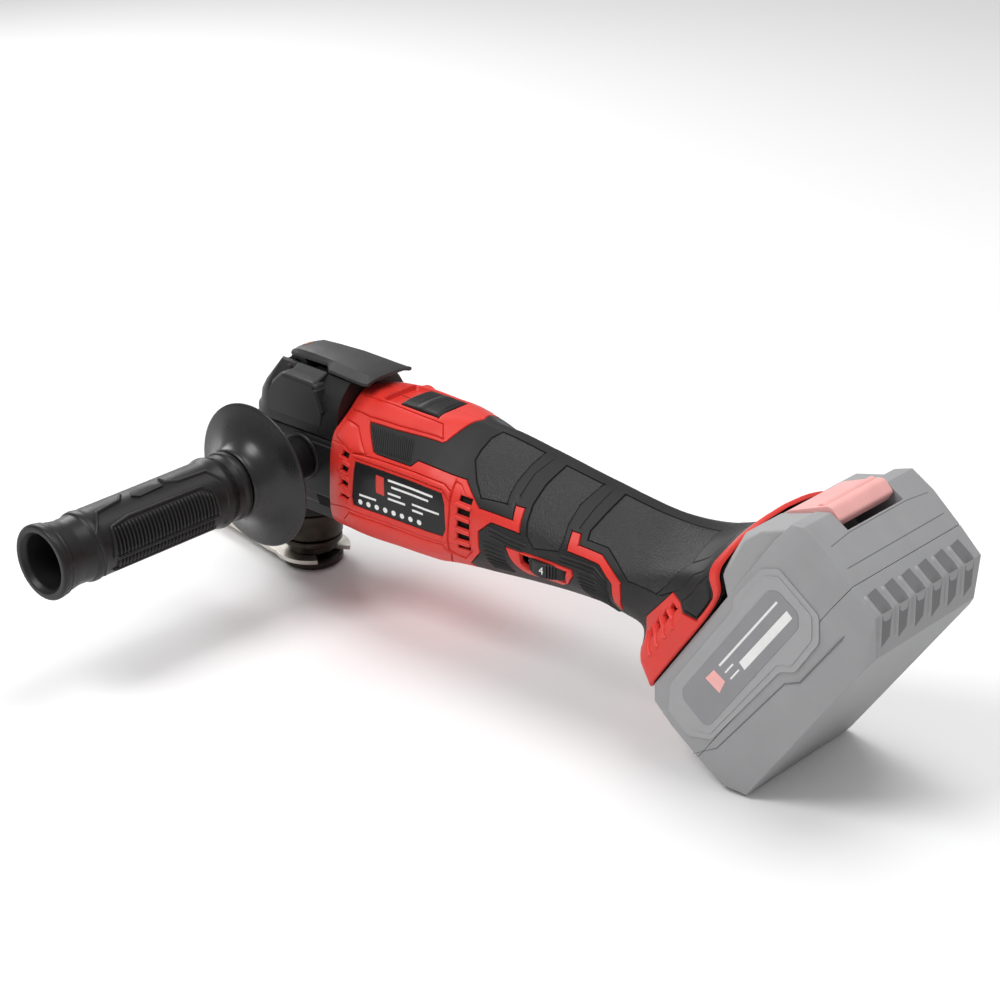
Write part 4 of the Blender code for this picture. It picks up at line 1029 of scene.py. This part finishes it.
def make_handle():
    turned = HANDLE_AT, (0, -1, 0), Z_AXIS, 144
    # radius, distance from the middle plane
    trumpet = [(11.0, 63.0), (15.0, 63.2), (15.6, 62.4), (16.2, 60.6), (17.6, 58.2), (20.0, 55.6),
               (22.6, 53.8),
               (25.6, 52.4), (29.0, 51.3), (31.6, 50.6), (32.3, 50.2), (32.4, 49.6), (31.9, 49.2),
               (28.5, 49.9),
               (24.0, 51.2), (20.0, 53.0), (17.0, 55.4), (14.8, 58.0), (11.0, 58.4)]
    guard = Finish(GUARD_BLACK, "handle", "guard_plastic")
    piece("hand_guard_body", lathe(soft_ring(trumpet, 1.4, 5), *turned), guard, "hand_guard", 50)
    # distance from the middle plane, radius
    core = [(23.7, 9.6), (44.0, 9.6), (46.0, 10.4), (63.5, 10.4), (63.9, 15.2), (66.5, 15.4), (67.4, 14.4),
            (71.0, 14.2), (72.4, 15.2), (75.0, 15.9), (77.6, 15.2), (79.0, 14.9), (141.0, 14.7),
            (143.0, 15.2),
            (145.0, 14.9), (146.0, 14.1), (152.0, 13.9), (156.0, 14.6), (158.4, 14.9),
            (159.2, 15.7), (160.4, 15.4), (161.2, 16.0), (163.4, 16.1), (164.3, 15.4), (164.3, 13.2),
            (163.4, 12.6), (162.0, 11.6), (110, 11.0), (106, 4.4), (23.7, 4.4)]
    line = soft_ring([(r, d) for d, r in core], 0.9, 5)
    piece("side_handle_core", lathe(line, *turned), HANDLE, "side_handle", 50)
    make_grip_pads()


def handle_lift(chart, heights):
    """Chart of the grip's barrel: distance from the middle plane, and millimetres round it from its top."""
    angle = chart[:, 1] / BARREL
    radius = BARREL + np.asarray(heights)
    x, _, z = HANDLE_AT
    return np.stack([x - radius * np.sin(angle), -chart[:, 0], z + radius * np.cos(angle)], 1)


def round_barrel(line, half):
    """A line of (distance, degrees from the top) in the barrel's chart, on one half of the grip."""
    return [(d, -math.radians(angle + 180 * half) * BARREL) for d, angle in line]


def make_grip_pads():
    """On both halves of the barrel: a ribbed window and strip in a raised frame, and ridges on the crown."""
    ridges = [
        [(77.6, 132), (77.2, 48), (81.2, 22), (96, 19), (101, 10), (101, -6)],
        [(142, 132), (144.5, 52), (138, 17), (125, 10), (121, -6)],
        [(82.6, 101.6), (84.2, 55), (88, 45), (127, 43.5), (136.6, 50), (138.4, 101.6)],
        [(83, 102), (138, 102)], [(83, 126), (138, 126)],
    ]
    ribs = []
    for i in range(RIB_COUNT):
        d = RIB_START + RIB_PITCH * i
        ribs += [[(d, 50.0 + 10.0 * max(0.0, 1 - i / 3)), (d, 98.5)], [(d, 105.5), (d, 122.5)]]
    chevrons = [[(103, 17), (116, 20), (119, 12), (117, 0), (105, -2), (106.5, 8)]]
    ridges, ribs, chevrons = ([round_barrel(line, half) for half in (0, 1) for line in lines]
                              for lines in (ridges, ribs, chevrons))
    piece("handle_chevrons", pads(handle_lift, chevrons, -1.0, 0.55, 1.0, 1.6), HANDLE, bevel=(0.3, 2, 50))
    piece("handle_ridges", beads(handle_lift, ridges, 0.85, 0.85, -0.2, 1.0), HANDLE)
    piece("handle_ribs", beads(handle_lift, ribs, 0.58, 1.0, -0.25, 1.2), HANDLE)


# ---------------------------------------------------------------- switch and dial

SLIDER_START, SLIDER_LENGTH = 70.0, 22.0
DIAL_RADIUS, KNURL_RADIUS = 12.4, 11.85
DIGIT_TURN = 4.0
DIGIT_STEP = 60.0
DIGITS = "456123"


def make_slider():
    """The switch's slider: a crowned cap with cross ribs and a hump in its middle."""
    rings = []
    for x in np.linspace(SLIDER_START, SLIDER_START + SLIDER_LENGTH, 111):
        t = (x - SLIDER_START) / SLIDER_LENGTH
        hump = 0.75 * math.exp(-(((t - 0.5) / 0.13) ** 2))
        smooth = abs(t - 0.5) < 0.12 or t < 0.08 or t > 0.92
        rib = 0.0 if smooth else 0.28 * abs(math.sin(math.pi * (x - SLIDER_START) / 1.1))
        ends = min(1.0, t / 0.06, (1 - t) / 0.06)
        lift = 98.6 + (1.37 + hump + rib) * math.sqrt(1 - (1 - ends) ** 2)
        half = [(9.0, 97.6), (9.1, 98.2)] + [(9.1 * math.cos(a), 98.4 + (lift - 98.4) * math.sin(a) ** 0.7)
                                             for a in np.linspace(0.15, math.pi / 2, 12)]
        rings.append(mirrored(x, half))
    piece("switch_slider_body", loft(rings), Finish(SWITCH_BLACK, "switch", "switch_black"), "switch_slider",
          50)


def make_dial():
    """The speed wheel: knurled between the smooth patches that carry its digits."""
    x, y, z = DIAL_CENTRE
    dial = Finish(SWITCH_BLACK, "dial", "switch_black")
    turns = np.arange(0, 360, 0.75)
    from_digit = np.abs((turns - DIGIT_TURN + 8.0 + DIGIT_STEP / 2) % DIGIT_STEP - DIGIT_STEP / 2)
    proud = (from_digit < 19.0) | (np.sin(np.radians(turns * 60)) > 0)
    radii = np.where(proud, DIAL_RADIUS, KNURL_RADIUS)
    turns = np.radians(turns)
    rings = [np.stack([x + (radii - drop) * np.sin(turns), y - (radii - drop) * np.cos(turns),
                       np.full(len(turns), z + level)], 1)
             for level, drop in ((-3.2, 0.5), (-2.8, 0.0), (2.8, 0.0), (3.2, 0.5))]
    piece("speed_dial_body", loft(rings), dial, "speed_dial")
    for i, digit in enumerate(DIGITS):
        mesh = digit_mesh(digit, math.radians(DIGIT_TURN + DIGIT_STEP * i))
        finished(f"dial_digit_{digit}", mesh, dial._replace(look=LABEL_WHITE))


def digit_mesh(digit, turn):
    """A raised digit of the speed scale, facing out from the dial's rim."""
    curve = bpy.data.curves.new(f"digit_{digit}", "FONT")
    curve.body = digit
    curve.size = 4.6 * MM
    curve.extrude = 0.06 * MM
    curve.align_x = "CENTER"
    curve.align_y = "CENTER"
    source = bpy.data.objects.new(f"digit_source_{digit}", curve)
    bpy.context.scene.collection.objects.link(source)
    mesh = bpy.data.meshes.new_from_object(source.evaluated_get(bpy.context.evaluated_depsgraph_get()))
    bpy.data.objects.remove(source)
    stand = Matrix.Translation((0, -(DIAL_RADIUS + 0.02) * MM, 0)) @ Matrix.Rotation(math.pi / 2, 4, "X")
    mesh.transform(Matrix.Translation(Vector(DIAL_CENTRE) * MM) @ Matrix.Rotation(turn, 4, "Z") @ stand)
    mesh.materials.clear()
    return mesh


# ---------------------------------------------------------------- battery

BATTERY_SIDE = 36.9
BATTERY_AXES = np.array([SLIDE, ACROSS, AWAY])
# level away from the tool, half width, front, rear, rear end of the side, half width of the rear
COVER_RINGS = [
    (171.0, 35.9, 157.0, 261.5, 252.0, 32.4), (175.6, 36.8, 151.9, 266.6, 253.5, 34.4),
    (187.0, BATTERY_SIDE, 150.5, 267.3, 253.5, 34.4), (202.9, BATTERY_SIDE, 150.5, 265.6, 252.5, 34.4),
]
BASE_RINGS = [
    (203.0, BATTERY_SIDE, 150.5, 265.6, 252.5, 34.4), (216.5, 36.3, 150.5, 263.8, 249.6, 34.0),
    (226.0, 34.5, 155.3, 249.6, 244.0, 31.5),
]
# place along the slide, level of the top, half width
HEAD_ROWS = [(216.3, 171.0, 36.4), (222.9, 161.9, 35.6), (240.5, 159.4, 34.4), (249.0, 161.9, 33.6),
             (262.6, 172.4, 31.0)]
HEAD_FOOT = 178.0
# Panels on the battery's sides: outline (along the slide, away from the tool), finish and height.
SIDE_PANELS = {
    "frame": ([(156.4, 194.6), (156.9, 182.4), (167.1, 176.2), (217.4, 176.2), (221.5, 173.4), (240.7, 174.2),
               (247.5, 179.3), (247.3, 201.5), (238.7, 208.1), (220.6, 208.7), (214.9, 204.4),
               (164.8, 202.4)],
              BATTERY, 0.5),
    "field": ([(160.2, 193.6), (160.6, 183.6), (168.4, 178.6), (219.5, 178.6), (223.0, 176.0), (239.8, 176.6),
               (245.2, 181.0), (244.8, 199.8), (237.5, 205.4), (221.5, 206.2), (216.6, 202.0),
               (166.4, 200.6)],
              BATTERY, 0.8),
    "centre": ([(167.3, 196.6), (167.6, 183.6), (171.2, 181.0), (237.0, 181.4), (240.6, 184.4),
                (241.0, 195.2),
                (236.6, 199.0), (169.8, 198.4)], BATTERY._replace(look=PANEL_GREY), 1.0),
}


def battery_solid(rings, chamfer=2.0):
    found = []
    for level, half_width, front, rear, side_end, corner in rings:
        half = [(front, half_width - chamfer), (front + chamfer, half_width), (side_end, half_width),
                (rear, corner)]
        found.append(from_battery([(s, y, level) for s, y in half + [(s, -y) for s, y in reversed(half)]]))
    return loft(found)


def battery_side(side):
    def lift(chart, heights):
        return from_battery(np.stack([chart[:, 0], side * (BATTERY_SIDE + np.asarray(heights)), chart[:, 1]],
                                     1))
    return lift


def battery_rear(chart, heights):
    """Chart of the rear face: sideways, and away from the tool."""
    levels, _, _, rears, *_ = zip(*(COVER_RINGS[:3] + BASE_RINGS))
    lean = np.interp(chart[:, 1], levels, rears)
    return from_battery(np.stack([lean + np.asarray(heights), chart[:, 0], chart[:, 1]], 1))


def make_battery():
    latch_room = box((243.4, -17.5, 150.0), (280.0, 17.5, 184.4), BATTERY_AXES)
    piece("battery_cover_body", carved(battery_solid(COVER_RINGS), latch_room), BATTERY, "battery_cover",
          bevel=(0.35,))
    piece("battery_base_body", battery_solid(BASE_RINGS), BATTERY, "battery_base", bevel=(0.35,))
    for side, name in SIDES:
        rings = [from_battery([
            (s, side * 17.4, HEAD_FOOT), (s, side * 17.4, top), (s, side * (wide - 4.5), top),
            (s, side * wide, top + 2.6), (s, side * wide, HEAD_FOOT),
        ]) for s, top, wide in HEAD_ROWS]
        piece(f"battery_head_{name}", loft(rings), BATTERY_GRAINED, bevel=(0.8,))
    middle = [(s, top) for s, top, _ in HEAD_ROWS[:2]] + [(243.2, 160.2)]
    rings = [from_battery([(s, -18.5, HEAD_FOOT), (s, -18.5, top), (s, 18.5, top), (s, 18.5, HEAD_FOOT)])
             for s, top in middle]
    piece("battery_head_middle", loft(rings), BATTERY_GRAINED, bevel=(0.5,))
    tower = [box((171.5, -19.8, 163.4), (220.0, 19.8, 176.0), BATTERY_AXES),
             box((171.5, -24.0, 163.4), (222.0, 24.0, 166.8), BATTERY_AXES)]
    piece("battery_tower", merged(tower), BATTERY, bevel=(0.5,))
    make_battery_sides()
    make_battery_rear()
    make_latch()


def make_battery_sides():
    seam = [(151.5, 200.6), (163.6, 206.0), (212.4, 208.6), (218.4, 212.4), (249.5, 213.0)]
    for side, name in SIDES:
        lift = battery_side(side)
        for panel, (outline, finish, high) in SIDE_PANELS.items():
            solid = pads(lift, [soft_ring(outline, 1.5, 5)], -0.6, high, 3, 6)
            piece(f"battery_{panel}_{name}", solid, finish, bevel=(0.35, 3, 50))
        piece(f"battery_side_line_{name}", beads(lift, [seam], 0.3, 0.1, -0.4, 2.0), BATTERY_SLOT_SHADE_AND_SEAM)
    lift = battery_side(-1)
    bars = [[(203.0, 190.9), (237.8, 191.6), (237.5, 195.0), (202.6, 194.4)],
            [(194, 185.7), (237, 186.4), (237, 187.3), (194, 186.6)],
            [(194, 189.2), (200, 189.3), (200, 190.0), (194, 189.9)],
            [(194, 192.3), (200.5, 192.4), (200.5, 193.1), (194, 193.0)]]
    tile = [(184.2, 185.2), (190.4, 185.6), (191.0, 191.8), (184.8, 193.0)]
    for name, outlines, look in (("print", bars, LABEL_WHITE), ("tile", [tile], PALE_RED)):
        piece(f"battery_{name}", pads(lift, outlines, 0.97, 1.08, 1.0, 4),
              Finish(look, "battery", "label_black"))


def make_battery_rear():
    slots, bars = [], []
    for i in range(6):
        y = -27.5 + 10.6 * i
        slots.append([(y - 3.2, 208.0), (y + 2.6, 207.2), (y + 3.8, 214.0), (y + 3.2, 222.5),
                      (y - 1.6, 224.0)])
        bars.append([(y - 4.6, 207.6), (y - 4.2, 215.0), (y - 3.4, 223.6)])
    lines = [[(-32, 187.0), (-18, 185.4), (18, 185.4), (32, 187.0)], [(-32, 196.4), (32, 196.4)]]
    # The rear slots are dark grey plates: painted shade in their recesses.
    piece("battery_rear_slots", pads(battery_rear, slots, -0.6, 0.1, 1.2, 3), BATTERY_SLOT_SHADE_AND_SEAM)
    piece("battery_rear_bars", beads(battery_rear, bars, 1.3, 0.7, -0.3, 1.2), BATTERY)
    piece("battery_rear_lines", beads(battery_rear, lines, 0.3, 0.1, -0.2, 2.0), BATTERY_SLOT_SHADE_AND_SEAM)


def make_latch():
    outline = [(243.7, 163.3), (246.0, 162.0), (251.5, 162.8), (266.6, 172.8), (267.6, 174.6), (266.6, 180.0),
               (262.0, 180.6), (262.0, 178.4), (250.0, 170.6), (243.7, 170.0)]
    button = prism(soft_ring(outline, 1.2, 5), -17.0, 17.0, [SLIDE, AWAY, ACROSS])
    piece("battery_latch_body", button, LATCH, "battery_latch", bevel=(0.5, 2))
    roll = soft_line([(0, -16.0), (2.2, -16.0), (2.2, 16.0), (0, 16.0)], 0.6, 4)
    piece("latch_roll", disc(roll, from_battery((263.2, 0.0, 171.9)), Y_AXIS, X_AXIS, 64), LATCH)


# ---------------------------------------------------------------- carried-over nodes, stage and camera

def dress_nodes():
    """Better materials for the CAD pieces that stay as they are."""
    looks = [
        ("clamp_rod spindle handle_stud motor_shaft lower_bearing upper_bearing front_motor_bearing "
         "rear_motor_bearing eccentric_bearing contact_positive contact_negative", BRIGHT_STEEL),
        ("drive_fork bearing_shield rotor lever_pin", DARK_STEEL),
        ("handle_insert_left handle_insert_right", BRASS),
        ("stator", COPPER),
        ("control_board battery_board", GREEN),
        ("fan switch_rod microswitch terminal_block dust_seal", SWITCH_BLACK),
        (" ".join(f"cell_{row}_{i}" for row in ("upper", "lower") for i in range(1, 6)), SLEEVE),
    ]
    for names, look in looks:
        for name in names.split():
            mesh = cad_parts[name].data
            mesh.materials.clear()
            mesh.materials.append(look)
            mesh.shade_smooth()
            mesh.set_sharp_from_angle(angle=math.radians(35))


def make_stage():
    bpy.ops.mesh.primitive_plane_add(size=12, location=(0.1, 0, CAD_BOX[0][2] - 0.0005))
    floor = bpy.context.object
    floor.name = "floor"
    made, tree, shader = new_material("floor_paper")
    tone = mixed(tree, noise(tree, 400.0), (0.9, 0.9, 0.9, 1), (0.94, 0.94, 0.94, 1))
    fill(tree, shader, {"Base Color": tone, "Roughness": 0.9})
    floor.data.materials.append(made)
    world = bpy.data.worlds.new("studio")
    world.use_nodes = True
    background = world.node_tree.nodes["Background"]
    background.inputs["Color"].default_value = (1.0, 1.0, 1.0, 1)
    background.inputs["Strength"].default_value = 0.47
    bpy.context.scene.world = world
    area_light("key", (-0.1, -0.75, 1.15), 0.6, 8.5)
    area_light("top", (0.35, 0.25, 1.3), 0.8, 7.0)
    area_light("rim", (-0.9, 0.35, 0.6), 0.6, 4.0)


def area_light(name, place, size, power):
    data = bpy.data.lights.new(name, "AREA")
    data.shape = "DISK"
    data.size = size
    data.energy = power
    obj = bpy.data.objects.new(name, data)
    obj.location = place
    aim = Vector((0.14, 0, 0.06)) - Vector(place)
    obj.rotation_euler = aim.to_track_quat("-Z", "Y").to_euler()
    bpy.context.scene.collection.objects.link(obj)


def make_camera():
    azimuth, elevation, roll = (math.radians(a) for a in (42.88, 24.72, -0.73))
    back = Vector((math.sin(azimuth) * math.cos(elevation), -math.cos(azimuth) * math.cos(elevation),
                   math.sin(elevation)))
    level = Vector((math.cos(azimuth), math.sin(azimuth), 0))
    up = back.cross(level)
    right = level * math.cos(roll) + up * math.sin(roll)
    upward = up * math.cos(roll) - level * math.sin(roll)
    turn = Matrix((right, upward, back)).transposed()
    data = bpy.data.cameras.new("camera")
    data.lens = 85.64
    data.sensor_width = 36.0
    camera = bpy.data.objects.new("camera", data)
    camera.matrix_world = Matrix.Translation((0.73344, -0.66302, 0.48164)) @ turn.to_4x4()
    bpy.context.scene.collection.objects.link(camera)
    bpy.context.scene.camera = camera


make_camera()
make_stage()
dress_nodes()
make_body()
make_head()
make_lever()
make_spindle()
make_handle()
make_slider()
make_dial()
make_battery()
bpy.context.scene.view_settings.view_transform = "Standard"
